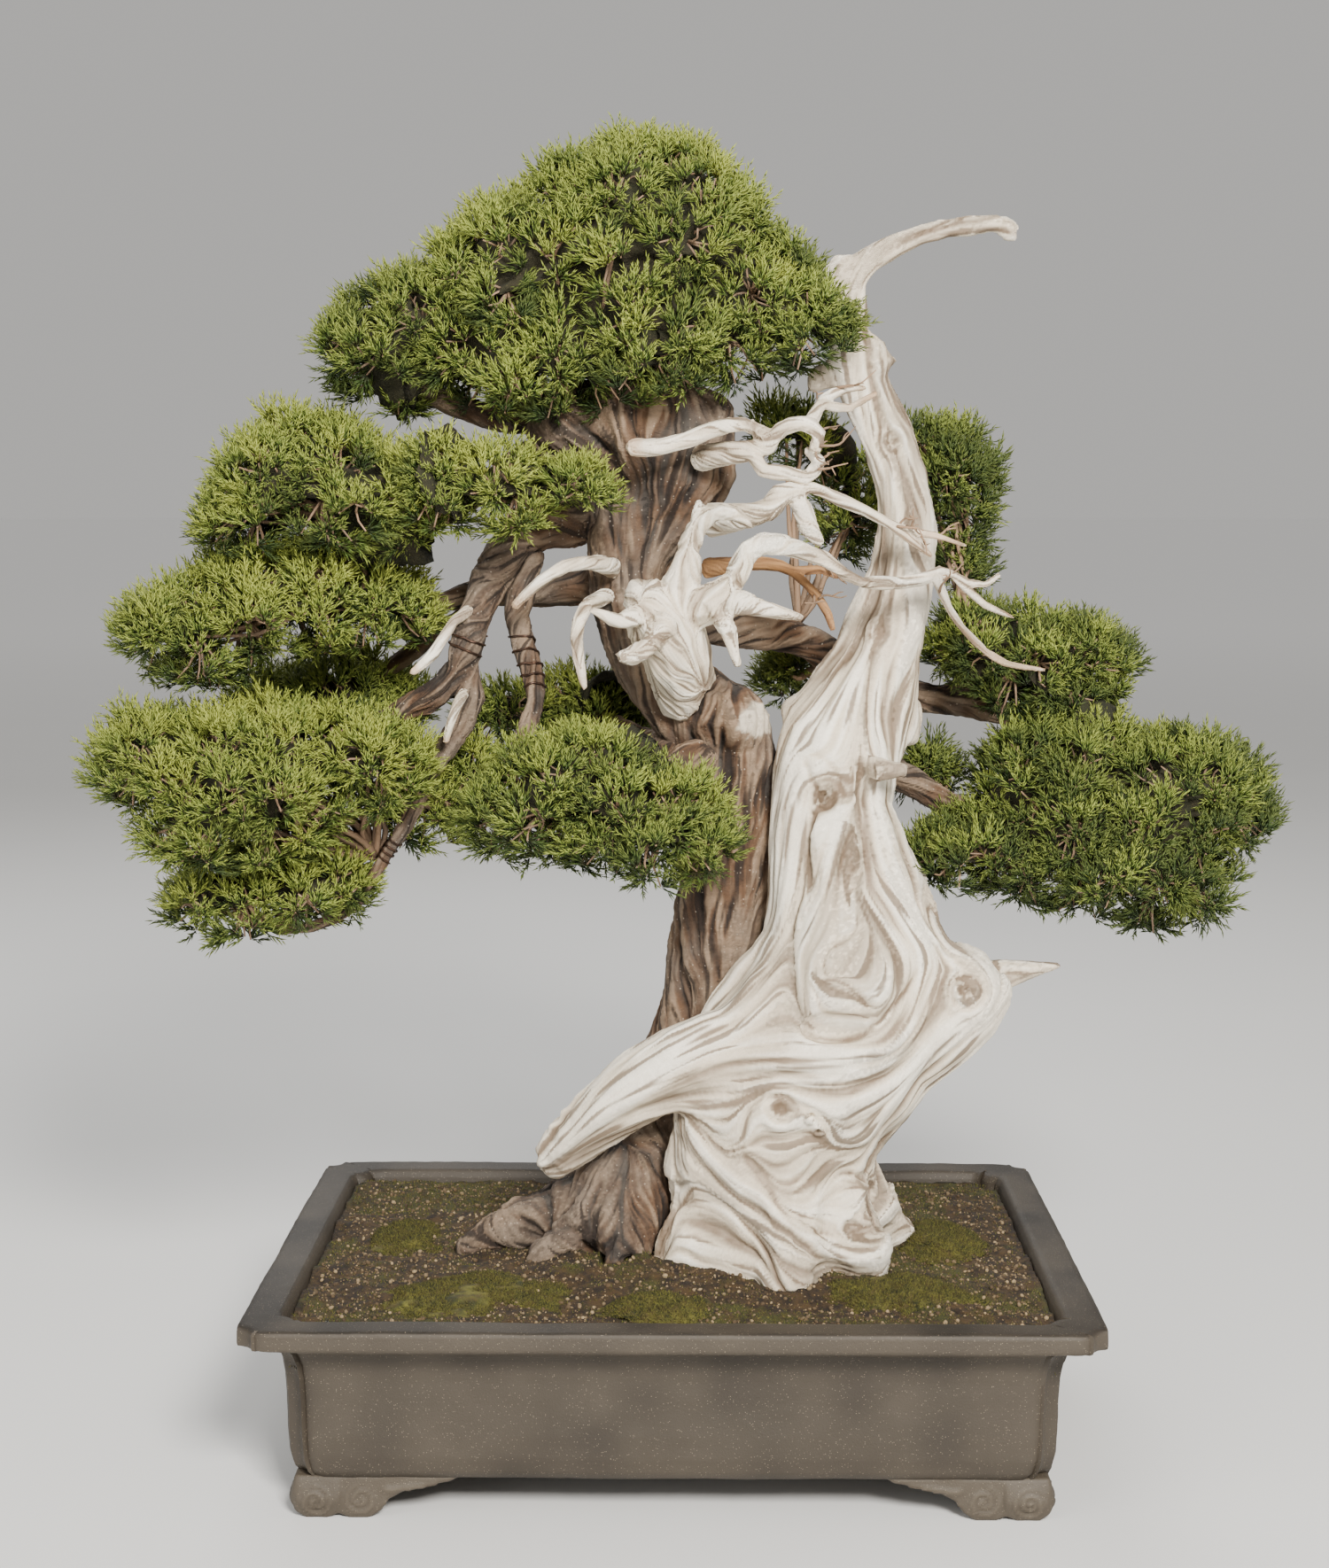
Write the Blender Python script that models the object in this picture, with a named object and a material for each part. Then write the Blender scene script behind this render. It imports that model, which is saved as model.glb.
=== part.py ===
"""A juniper bonsai in a footed clay pot.

The tree is a bleached driftwood trunk and a living, bark-covered trunk that stand side by side,
with living branches, bare dead branches, leaf pads and the wires that train the branches. The pot
holds two drain screens, a gravel layer, the soil and the moss on it.

Frame: metres, +Z up, the feet of the pot on z = 0, the front of the tree towards -Y. Routes and
lobes are written in centimetres, because that is how a tree this size is measured.
"""

import math

import bmesh
import bpy
from mathutils import Matrix, Vector

CM = 0.01
GAP = 0.0005                     # clearance between pieces that touch
SHIFT_X = -0.009                 # slides the whole part so that its box is centred on the origin

# Pot
POT_HALF_X = 0.300
POT_HALF_Y = 0.227
POT_HEIGHT = 0.146
FOOT_HEIGHT = 0.0285
CORNER_NOTCH = 0.016
FLOOR_TOP = 0.0405
DRAIN_RADIUS = 0.015
DRAIN_X = 0.130
TIE_HOLE_RADIUS = 0.003
TIE_HOLE_X = 0.065
FOOT_LENGTH = 0.111
FOOT_DEPTH = 0.030
FOOT_INSET = 0.036               # outer end of a foot, measured in from the rim
# The wall as (distance in from the rim's edge, height), up the outside and down the inside
WALL = (
    (0.0400, FOOT_HEIGHT), (0.0345, 0.0315), (0.0300, 0.0450), (0.0290, 0.0850), (0.0275, 0.1100),
    (0.0235, 0.1220), (0.0160, 0.1295), (0.0020, 0.1310), (0.0000, 0.1335), (0.0000, 0.1440),
    (0.0020, POT_HEIGHT), (0.0250, POT_HEIGHT), (0.0280, 0.1430), (0.0420, 0.0560),
    (0.0520, FLOOR_TOP),
)

# Fill of the pot
SCREEN_SIZE = 0.044
SCREEN_THICK = 0.0012
GRAVEL_BOTTOM = 0.0430
GRAVEL_TOP = 0.0600
SOIL_EDGE = 0.1370               # height of the soil at the wall
SOIL_RISE = 0.0170               # how much higher the soil is round the trunk
SOIL_CENTRE = (0.03, -0.02)
SOIL_REACH = 0.24
MOSS_THICK = 0.0050

# Trunks, as routes of (x, y, z, radius) in centimetres
DEADWOOD_ROUTES = (
    ((8.0, -4.0, 11.0, 7.0), (7.5, -4.0, 15.5, 8.0), (7.0, -3.5, 21.0, 7.6), (8.0, -3.5, 25.0, 8.0),
     (10.2, -3.5, 29.5, 8.9), (12.6, -3.5, 33.5, 8.7), (13.5, -3.5, 38.5, 7.3), (12.5, -3.0, 43.5, 5.4),
     (11.7, -2.5, 48.7, 4.4), (12.3, -2.0, 53.0, 4.7), (14.3, -1.0, 57.0, 4.1), (15.6, 0.0, 61.0, 3.3),
     (16.8, 0.0, 65.5, 2.6), (17.1, 0.0, 70.0, 2.35), (16.4, 0.0, 74.0, 2.3), (14.8, 0.0, 78.0, 2.3),
     (13.3, 0.0, 81.3, 2.2), (13.3, 0.0, 84.0, 1.3), (13.0, 0.0, 86.3, 1.35), (13.0, 0.0, 88.2, 1.4)),
    ((12.4, 0.0, 87.2, 1.5), (14.6, 0.0, 89.0, 1.15), (17.5, 0.0, 90.3, 0.95), (20.8, 0.0, 91.1, 0.9),
     (23.4, 0.0, 91.3, 0.75), (24.8, 0.0, 90.8, 0.75), (24.7, 0.0, 89.8, 0.45)),
    ((12.5, 0.0, 88.4, 1.2), (10.8, -0.5, 87.2, 0.6)),
    ((12.5, 0.0, 80.5, 1.6), (10.6, -0.5, 80.0, 1.0), (10.0, -0.8, 79.0, 0.5)),
    ((13.5, -0.5, 81.5, 1.8), (15.8, -0.6, 82.3, 0.8)),
    ((9.5, -4.5, 30.0, 4.8), (2.6, -6.0, 30.0, 3.6), (-2.7, -5.5, 27.6, 2.8), (-6.7, -4.5, 24.3, 2.2),
     (-9.3, -3.5, 21.4, 1.5)),
    ((16.5, -4.0, 32.3, 5.6), (20.6, -4.5, 34.3, 4.5), (23.2, -5.0, 34.8, 3.0)),
    ((22.0, -3.0, 35.1, 2.0), (25.9, -2.0, 35.8, 1.1), (29.3, -1.5, 36.3, 0.35)),
    ((11.0, -2.5, 20.5, 4.6), (14.9, -0.5, 16.6, 3.0), (18.0, 1.5, 14.5, 1.6)),
    ((7.8, -6.0, 21.5, 4.2), (8.1, -9.0, 17.2, 3.0), (8.8, -11.0, 13.5, 1.8)),
    ((4.5, -4.0, 21.0, 4.0), (1.5, -5.5, 16.8, 3.0), (-0.8, -6.0, 14.0, 1.6)),
    ((11.5, -5.5, 20.0, 3.4), (13.5, -7.6, 16.5, 2.6), (14.5, -8.5, 13.5, 1.6)),
    ((9.8, 0.0, 55.0, 2.2), (8.2, -1.0, 55.8, 0.7)),
    ((17.0, 0.0, 53.5, 1.7), (18.6, 0.0, 56.2, 0.6)),
    ((13.6, -3.5, 51.0, 1.4), (15.0, -6.4, 51.8, 0.75), (16.0, -7.4, 52.0, 0.4)),
)
HOLLOW_CENTRE = (11.8, -12.2, 33.2)
HOLLOW_SIZE = (3.4, 3.2, 1.9)

LIVE_ROUTES = (
    ((-4.0, 0.0, 11.0, 4.2), (-4.2, -0.5, 16.5, 4.2), (-1.5, 3.0, 21.5, 4.2), (2.0, 4.0, 29.0, 4.2),
     (3.7, 3.0, 36.0, 4.2), (4.3, 1.5, 43.0, 4.1), (4.2, 0.5, 48.7, 4.0), (3.4, 0.0, 53.5, 4.1),
     (0.9, 0.0, 56.2, 3.4), (-1.8, 1.0, 59.2, 2.9), (-3.3, 1.5, 62.4, 2.8), (-3.7, 2.0, 66.1, 3.1),
     (-2.6, 2.0, 69.8, 3.9), (-0.2, 1.5, 73.4, 4.7), (-1.7, 0.5, 76.8, 4.5), (-4.0, 0.0, 80.0, 3.2)),
    ((2.5, 1.0, 75.3, 3.5), (-1.5, 1.0, 77.2, 3.8), (-6.7, 0.0, 76.6, 3.2), (-10.0, 0.0, 76.0, 2.2)),
    ((4.5, -2.0, 55.4, 3.1), (2.8, -4.0, 54.8, 2.5)),
    ((-4.2, 0.0, 19.5, 2.7), (-8.3, 0.0, 17.2, 2.4), (-13.0, -0.5, 15.4, 1.5), (-16.4, -1.0, 13.8, 0.9)),
    ((-4.1, -2.0, 19.0, 2.4), (-6.9, -3.6, 16.3, 1.7), (-10.7, -4.6, 14.2, 1.0)),
    ((-2.6, -1.0, 21.5, 2.2), (-4.0, -4.0, 17.6, 2.0), (-4.7, -7.0, 14.2, 1.0)),
    ((-2.1, 0.5, 22.0, 2.3), (-1.9, -2.4, 18.0, 1.9), (-2.4, -5.6, 14.6, 0.9)),
)

WIRE_CLEARANCE = 0.0022

# Living branches
BRANCHES = {
    "branch_crown_left": (
        ((-8.0, 0.0, 77.4, 1.6), (-13.0, 0.4, 77.2, 1.1), (-18.0, 0.8, 78.6, 0.8), (-22.0, 1.0, 80.4, 0.5)),
    ),
    "branch_left_upper": (
        ((-6.0, 0.0, 76.0, 2.2), (-9.6, 0.0, 74.6, 1.7), (-13.5, -0.5, 72.2, 1.2), (-18.6, -0.5, 69.8, 0.9),
         (-24.0, 0.0, 68.8, 0.7)),
    ),
    "branch_left_main": (
        ((-4.0, 2.0, 70.5, 2.6), (-8.2, 2.0, 69.6, 2.2), (-11.4, 1.0, 68.4, 1.7), (-13.4, 0.0, 66.0, 1.5),
         (-15.2, -1.5, 61.6, 1.2), (-16.0, -1.4, 58.8, 1.2), (-18.6, -2.0, 56.2, 1.1), (-22.5, -2.0, 54.4, 0.8)),
        ((-15.8, -1.0, 59.2, 1.2), (-15.3, -1.0, 56.2, 1.1), (-16.6, -1.0, 53.4, 0.9), (-18.4, -1.0, 50.8, 0.75),
         (-20.5, -0.5, 46.4, 0.7), (-22.3, 0.0, 43.7, 0.6), (-24.2, 0.0, 40.6, 0.5), (-27.5, 0.0, 38.8, 0.45),
         (-30.4, 0.0, 38.4, 0.35)),
    ),
    "branch_left_inner": (
        ((-11.0, 1.2, 67.4, 1.3), (-11.8, 1.0, 62.4, 1.1), (-10.8, 0.0, 58.6, 0.9), (-10.3, -1.0, 56.0, 0.8),
         (-11.4, -3.0, 53.0, 0.7), (-12.6, -6.0, 50.6, 0.6)),
    ),
    "branch_left_back": (
        ((-3.6, 3.5, 65.0, 1.9), (-9.6, 4.6, 64.2, 1.3), (-15.1, 5.4, 64.0, 1.0), (-20.0, 4.5, 62.8, 0.8)),
        ((-14.0, 5.4, 64.0, 0.9), (-19.0, 8.0, 60.5, 0.8), (-24.0, 9.5, 57.0, 0.6)),
    ),
    "branch_centre_low": (
        ((3.0, -2.0, 52.6, 1.5), (0.2, -5.6, 51.8, 1.2), (-2.6, -8.0, 50.6, 0.9), (-7.5, -9.6, 49.6, 0.6)),
        ((0.8, -5.0, 52.0, 1.0), (-2.0, 2.0, 53.0, 0.9), (-5.5, 8.0, 54.0, 0.7)),
    ),
    "branch_right_upper": (
        ((3.6, 3.5, 61.5, 1.5), (9.5, 6.8, 60.5, 1.4), (13.8, 8.4, 57.8, 1.3), (19.3, 8.0, 55.8, 1.2),
         (23.3, 7.0, 55.2, 1.0), (27.2, 5.0, 54.0, 0.8), (31.5, 3.0, 52.4, 0.6)),
        ((-1.6, 2.5, 60.0, 1.6), (4.6, 4.6, 62.3, 1.5)),
        ((20.5, 8.0, 55.6, 0.9), (24.0, 6.6, 57.6, 0.8), (27.0, 6.0, 58.6, 0.6)),
    ),
    "branch_right_low": (
        ((14.0, 2.6, 52.4, 1.6), (18.2, 3.0, 49.6, 1.15), (21.3, 3.0, 47.8, 0.95), (25.5, 2.2, 46.8, 0.75),
         (31.0, 1.2, 45.8, 0.5)),
    ),
}

# Dead branches
JINS = {
    "jin_centre": (
        ((0.9, -2.0, 56.2, 2.2), (0.3, -4.8, 59.6, 2.6), (-1.0, -6.0, 62.4, 2.7), (-2.6, -6.0, 64.8, 1.3)),
        ((-1.6, -7.0, 63.2, 1.0), (-3.8, -8.5, 62.4, 0.65), (-5.1, -9.0, 62.9, 0.45), (-6.0, -9.0, 63.3, 0.25)),
        ((-0.7, -8.0, 62.2, 1.1), (-1.6, -10.0, 60.8, 0.8), (-3.0, -11.0, 60.0, 0.65), (-3.9, -11.4, 60.1, 0.4)),
        ((0.0, -6.0, 63.0, 1.6), (0.7, -6.4, 65.6, 1.3), (1.1, -6.6, 67.8, 0.9), (1.8, -7.0, 69.4, 0.7),
         (1.8, -7.0, 70.9, 0.35)),
        ((1.3, -6.8, 68.6, 0.65), (2.8, -7.5, 70.1, 0.6), (4.3, -8.0, 70.1, 0.55), (5.6, -8.0, 69.0, 0.3)),
        ((0.6, -6.0, 63.0, 1.8), (2.8, -7.4, 63.9, 1.3), (4.4, -8.0, 65.4, 0.85), (5.4, -8.4, 67.6, 0.8),
         (7.6, -8.5, 67.9, 0.7), (10.8, -8.0, 66.8, 0.6), (13.7, -7.0, 65.1, 0.55), (17.9, -6.0, 65.3, 0.45),
         (19.3, -5.5, 66.0, 0.35), (21.0, -5.0, 65.3, 0.3), (22.6, -5.0, 64.9, 0.25), (23.7, -5.0, 65.7, 0.2)),
        ((20.4, -5.1, 65.5, 0.3), (22.6, -4.6, 63.5, 0.28), (24.9, -4.0, 62.5, 0.2)),
        ((18.9, -5.6, 65.6, 0.4), (20.1, -5.0, 63.0, 0.33), (22.0, -4.2, 60.7, 0.3), (24.4, -3.4, 59.1, 0.28),
         (27.4, -3.0, 58.6, 0.2)),
        ((1.9, -7.0, 63.1, 1.2), (4.4, -8.5, 63.8, 0.95), (6.6, -9.0, 63.3, 0.65), (9.2, -9.0, 62.7, 0.25)),
        ((2.8, -8.0, 63.7, 0.85), (3.9, -9.0, 61.8, 0.6), (4.6, -9.0, 59.2, 0.3)),
    ),
    "jin_upper": (
        ((1.5, -2.0, 74.2, 1.1), (4.4, -5.0, 74.6, 0.9), (6.8, -6.0, 74.9, 0.65), (7.6, -6.5, 76.1, 0.6),
         (9.2, -7.0, 76.5, 0.55), (10.4, -7.0, 75.7, 0.55), (10.0, -7.0, 74.5, 0.45)),
        ((-3.1, -5.6, 74.8, 0.65), (-1.3, -6.3, 74.8, 0.6), (0.9, -6.3, 75.3, 0.6), (2.8, -6.3, 76.1, 0.6),
         (5.1, -6.2, 76.5, 0.6), (7.0, -6.0, 75.5, 0.6)),
        ((4.4, -5.0, 74.6, 0.8), (5.7, -6.0, 74.3, 0.6), (6.4, -6.2, 73.2, 0.55), (8.0, -6.3, 73.0, 0.55),
         (9.5, -6.2, 72.6, 0.5), (10.4, -6.0, 73.7, 0.5), (9.6, -6.0, 74.7, 0.45)),
        ((9.6, -6.6, 76.3, 0.5), (10.8, -6.2, 78.2, 0.4), (12.1, -5.6, 78.9, 0.33), (13.9, -5.0, 79.1, 0.2)),
        ((11.0, -6.2, 77.8, 0.32), (12.6, -5.6, 77.6, 0.3), (14.7, -5.0, 78.8, 0.2)),
    ),
    "jin_middle": (
        ((2.6, -2.0, 69.6, 1.3), (5.0, -5.0, 69.9, 1.0), (6.9, -6.0, 70.4, 0.85), (7.7, -6.2, 71.4, 0.8),
         (9.5, -6.2, 72.0, 0.5), (11.8, -5.6, 71.2, 0.5), (14.1, -5.2, 70.2, 0.4), (16.4, -5.0, 69.0, 0.35),
         (18.7, -4.8, 68.6, 0.3), (21.3, -4.4, 67.7, 0.2)),
        ((15.4, -5.1, 69.5, 0.35), (17.4, -5.0, 68.0, 0.33), (18.8, -5.2, 66.9, 0.25)),
        ((8.8, -6.2, 71.6, 0.7), (9.8, -6.2, 69.0, 0.7), (10.7, -6.2, 67.9, 0.4)),
    ),
    "dead_twig_brown": (
        ((2.4, 0.0, 66.0, 0.8), (5.4, -1.6, 66.4, 0.6), (7.8, -3.0, 66.2, 0.45), (9.3, -4.0, 65.2, 0.4),
         (10.3, -4.4, 64.2, 0.4), (11.2, -4.4, 62.8, 0.35), (11.6, -4.4, 61.6, 0.25)),
        ((8.6, -3.6, 65.8, 0.4), (10.6, -3.6, 66.0, 0.3), (12.0, -4.0, 65.4, 0.2)),
    ),
    "dead_stick_left_top": (
        ((-4.6, -1.0, 66.0, 0.8), (-6.0, -4.0, 66.5, 0.55), (-7.8, -5.0, 66.3, 0.5), (-9.6, -5.2, 65.2, 0.5),
         (-11.7, -5.2, 63.3, 0.35)),
    ),
    "dead_stick_left_outer": (
        ((-14.6, -1.2, 63.2, 0.6), (-16.2, -3.4, 62.2, 0.42), (-17.7, -3.8, 59.8, 0.4), (-19.3, -4.2, 58.4, 0.25)),
    ),
    "dead_stick_left_hanging": (
        ((-4.4, 0.4, 64.0, 0.7), (-6.4, -3.4, 63.4, 0.5), (-7.2, -4.5, 60.9, 0.5), (-6.9, -4.7, 59.1, 0.42),
         (-6.6, -4.7, 57.3, 0.3)),
    ),
    "dead_stick_left_low": (
        ((-15.4, -1.2, 57.0, 0.5), (-16.0, -3.0, 56.2, 0.4), (-16.5, -3.2, 54.8, 0.36), (-16.9, -3.2, 53.2, 0.28)),
    ),
}

# Leaf pads, as lobes of (x, y, z, half-width, half-depth, half-height) in centimetres
PADS = {
    "foliage_crown": (
        (-2.6, 0.0, 90.4, 10.4, 9.5, 7.4), (6.4, 0.5, 86.0, 6.6, 7.5, 5.4), (-11.0, 0.0, 87.3, 7.6, 8.5, 6.2),
        (-19.3, 1.0, 83.0, 7.2, 7.0, 5.2), (-9.1, -3.0, 80.6, 7.2, 6.0, 3.3), (-1.0, -4.0, 82.4, 7.4, 6.0, 3.8),
        (9.2, -3.6, 84.0, 5.2, 5.0, 3.2), (-6.0, 6.0, 83.5, 9.0, 6.0, 5.0),
    ),
    "foliage_left_upper": (
        (-27.5, 0.0, 72.6, 6.6, 8.5, 5.2), (-31.2, 0.0, 70.3, 4.4, 6.5, 3.6), (-22.3, -2.0, 71.4, 5.3, 7.0, 4.1),
    ),
    "foliage_left_front": (
        (-17.4, -5.4, 72.3, 4.0, 4.6, 3.2), (-12.2, -6.0, 72.0, 4.2, 4.4, 3.2), (-7.0, -6.4, 72.2, 3.2, 3.2, 2.5),
    ),
    "foliage_left_mid": (
        (-29.0, 2.0, 63.9, 8.7, 9.0, 4.0), (-36.0, 0.0, 61.9, 6.2, 7.0, 3.1), (-22.6, 2.0, 63.2, 5.0, 6.0, 3.1),
        (-35.5, 0.0, 59.6, 4.6, 5.4, 2.2),
    ),
    "foliage_left_back": (
        (-26.0, 10.0, 55.9, 6.4, 5.6, 3.3), (-31.0, 9.0, 55.4, 4.6, 4.6, 2.7),
    ),
    "foliage_left_low": (
        (-37.8, -2.0, 52.2, 5.9, 8.0, 3.5), (-30.4, -3.0, 51.4, 7.2, 9.6, 4.7), (-22.6, -3.4, 52.0, 4.9, 6.6, 3.8),
        (-32.4, -3.0, 47.4, 7.4, 8.0, 3.2),
    ),
    "foliage_left_lowest": (
        (-34.0, 0.0, 41.4, 4.8, 6.0, 3.1), (-27.8, 0.0, 42.3, 5.2, 6.6, 3.2),
    ),
    "foliage_left_inner": (
        (-19.0, 4.4, 48.0, 3.9, 4.6, 3.4), (-16.0, 5.4, 50.6, 3.0, 3.4, 2.4),
    ),
    "foliage_centre_low": (
        (-6.6, -10.0, 50.4, 7.0, 6.6, 4.5), (-1.2, -11.0, 48.1, 5.7, 6.6, 4.2), (-11.2, -9.4, 48.9, 4.3, 5.0, 3.2),
    ),
    "foliage_centre_back": (
        (-7.4, 9.6, 54.4, 5.6, 4.8, 3.2), (-13.4, 8.6, 54.4, 4.0, 4.0, 2.8),
    ),
    "foliage_right_back": (
        (20.6, 10.0, 73.4, 5.0, 5.6, 4.3), (22.3, 10.0, 67.0, 2.7, 3.4, 3.4),
    ),
    "foliage_right_upper": (
        (25.2, 6.0, 59.9, 6.2, 6.6, 3.4), (30.6, 5.0, 59.7, 4.8, 5.8, 2.7), (29.0, 5.0, 56.8, 5.4, 5.8, 2.6),
    ),
    "foliage_right_low": (
        (29.8, 2.0, 51.0, 6.6, 8.6, 4.4), (38.4, 2.0, 49.0, 6.9, 9.2, 4.9), (31.4, 0.0, 45.4, 8.0, 10.0, 4.7),
        (36.2, 0.0, 43.6, 6.0, 8.4, 4.4), (22.4, 0.0, 45.0, 5.2, 5.6, 3.0),
    ),
    "foliage_right_inner": (
        (19.8, 7.0, 50.4, 2.8, 3.0, 2.2),
    ),
    "foliage_behind_spire": (
        (8.8, 12.4, 57.8, 2.7, 3.0, 2.5),
    ),
    "foliage_behind_jins": (
        (13.7, 10.4, 70.8, 2.9, 3.8, 4.2), (9.0, 9.0, 76.5, 3.4, 3.6, 2.6),
    ),
}

# Training wires: the branch, the spans of its route that are wound, the turns and the wire's radius
WIRES = {
    "wire_left_main": ("branch_left_main", 0, 4.10, 4.55, 2, 0.12),
    "wire_left_drop": ("branch_left_main", 1, 4.20, 4.85, 4, 0.11),
    "wire_left_inner": ("branch_left_inner", 0, 1.20, 2.60, 5, 0.12),
}

MOSS = {
    "moss_front_left": (-15.0, -12.5, 8.4, 5.0),
    "moss_front_right": (17.2, -12.5, 6.4, 4.4),
    "moss_right": (20.4, 1.5, 4.0, 6.2),
    "moss_left": (-21.0, 3.5, 3.6, 6.0),
    "moss_back": (4.0, 12.6, 10.0, 4.0),
    "moss_front": (-1.0, -15.4, 4.6, 2.8),
}

COLOURS = {
    "clay": (0.145, 0.115, 0.090), "mesh": (0.02, 0.02, 0.02), "gravel": (0.28, 0.24, 0.19),
    "soil": (0.060, 0.038, 0.022), "moss": (0.110, 0.130, 0.030), "deadwood": (0.780, 0.740, 0.660),
    "bark": (0.145, 0.090, 0.055), "leaf": (0.060, 0.150, 0.020), "wire": (0.050, 0.035, 0.028),
    "twig": (0.300, 0.140, 0.035),
}


def clear_scene():
    """Removes whatever the scene starts with."""
    for thing in list(bpy.data.objects):
        bpy.data.objects.remove(thing, do_unlink=True)


def make_material(name, colour, roughness=0.85, metallic=0.0):
    """A plain Principled material."""
    material = bpy.data.materials.new(name)
    material.use_nodes = True
    shader = material.node_tree.nodes["Principled BSDF"]
    shader.inputs["Base Color"].default_value = (*COLOURS[colour], 1.0)
    shader.inputs["Roughness"].default_value = roughness
    shader.inputs["Metallic"].default_value = metallic
    return material


def add_node(name, mesh, colour, roughness=0.85, metallic=0.0, smooth=True):
    """Puts a finished mesh in the scene as one node."""
    node = bpy.data.objects.new(name, mesh)
    bpy.context.scene.collection.objects.link(node)
    mesh.name = name
    mesh.materials.clear()
    mesh.materials.append(make_material(name, colour, roughness, metallic))
    if smooth:
        mesh.shade_smooth()
        mesh.set_sharp_from_angle(angle=math.radians(50))
    return node


def to_mesh(bm, name="work"):
    """Turns a bmesh into a mesh with its faces pointing out."""
    bmesh.ops.recalc_face_normals(bm, faces=bm.faces)
    mesh = bpy.data.meshes.new(name)
    bm.to_mesh(mesh)
    bm.free()
    return mesh


def apply_modifiers(mesh, add_modifiers):
    """The mesh as the modifiers that add_modifiers puts on it leave it."""
    holder = bpy.data.objects.new("holder", mesh)
    bpy.context.scene.collection.objects.link(holder)
    add_modifiers(holder)
    depsgraph = bpy.context.evaluated_depsgraph_get()
    result = bpy.data.meshes.new_from_object(holder.evaluated_get(depsgraph))
    bpy.data.objects.remove(holder, do_unlink=True)
    return result


def keep_largest_body(mesh):
    """Drops the crumbs that a cut may leave beside the main body."""
    bm = bmesh.new()
    bm.from_mesh(mesh)
    bmesh.ops.triangulate(bm, faces=bm.faces)
    unseen = set(bm.verts)
    bodies = []
    while unseen:
        stack = [unseen.pop()]
        body = set(stack)
        while stack:
            for edge in stack.pop().link_edges:
                for vertex in edge.verts:
                    if vertex in unseen:
                        unseen.remove(vertex)
                        body.add(vertex)
                        stack.append(vertex)
        bodies.append(body)
    main = max(bodies, key=lambda body: sum(f.calc_area() for v in body for f in v.link_faces))
    spare = [vertex for body in bodies if body is not main for vertex in body]
    bmesh.ops.delete(bm, geom=spare, context="VERTS")
    bm.to_mesh(mesh)
    bm.free()
    return mesh


def boolean(mesh, tool, operation):
    """Applies one exact Boolean."""
    cutter = bpy.data.objects.new("cutter", tool)
    bpy.context.scene.collection.objects.link(cutter)
    cutter.hide_render = True
    cutter.display_type = "WIRE"

    def add(holder):
        modifier = holder.modifiers.new(operation.lower(), "BOOLEAN")
        modifier.operation = operation
        modifier.solver = "EXACT"
        modifier.object = cutter

    result = apply_modifiers(mesh, add)
    bpy.data.objects.remove(cutter, do_unlink=True)
    return result


def grown(mesh, gap=GAP):
    """A copy pushed out by the clearance along its normals."""
    copy = mesh.copy()
    for vertex, normal in zip(copy.vertices, [Vector(n.vector) for n in mesh.vertex_normals]):
        vertex.co += normal * gap
    return copy


def boxes_meet(mesh, other, margin=0.002):
    """Whether the boxes of two meshes come within the margin of each other."""
    low_a, high_a = box_of(mesh)
    low_b, high_b = box_of(other)
    return all(low_a[i] - margin < high_b[i] and low_b[i] - margin < high_a[i] for i in range(3))


def box_of(mesh):
    """The lowest and the highest corner of a mesh."""
    points = [vertex.co for vertex in mesh.vertices]
    low = Vector([min(point[i] for point in points) for i in range(3)])
    high = Vector([max(point[i] for point in points) for i in range(3)])
    return low, high


def carve(mesh, neighbours, gap=GAP):
    """Cuts a mesh clear of the neighbours that it meets."""
    for neighbour in neighbours:
        if boxes_meet(mesh, neighbour):
            mesh = boolean(mesh, grown(neighbour, gap), "DIFFERENCE")
    return keep_largest_body(mesh)


def shift(mesh):
    """Slides a mesh to its place in the centred frame."""
    mesh.transform(Matrix.Translation((SHIFT_X, 0.0, 0.0)))
    return mesh


def curve_points(route, step):
    """A smooth Catmull-Rom line through a route's points, as (centre, radius) pairs in metres."""
    knots = [Vector(point[:3]) * CM for point in route]
    sizes = [point[3] * CM for point in route]
    result = []
    for i in range(len(knots) - 1):
        before = knots[max(i - 1, 0)]
        start, end = knots[i], knots[i + 1]
        after = knots[min(i + 2, len(knots) - 1)]
        pieces = max(2, round((end - start).length / step))
        for k in range(pieces):
            t = k / pieces
            point = 0.5 * (2 * start + (end - before) * t
                           + (2 * before - 5 * start + 4 * end - after) * t * t
                           + (3 * start - before - 3 * end + after) * t ** 3)
            result.append((point, sizes[i] + (sizes[i + 1] - sizes[i]) * t))
    result.append((knots[-1], sizes[-1]))
    return result


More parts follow.
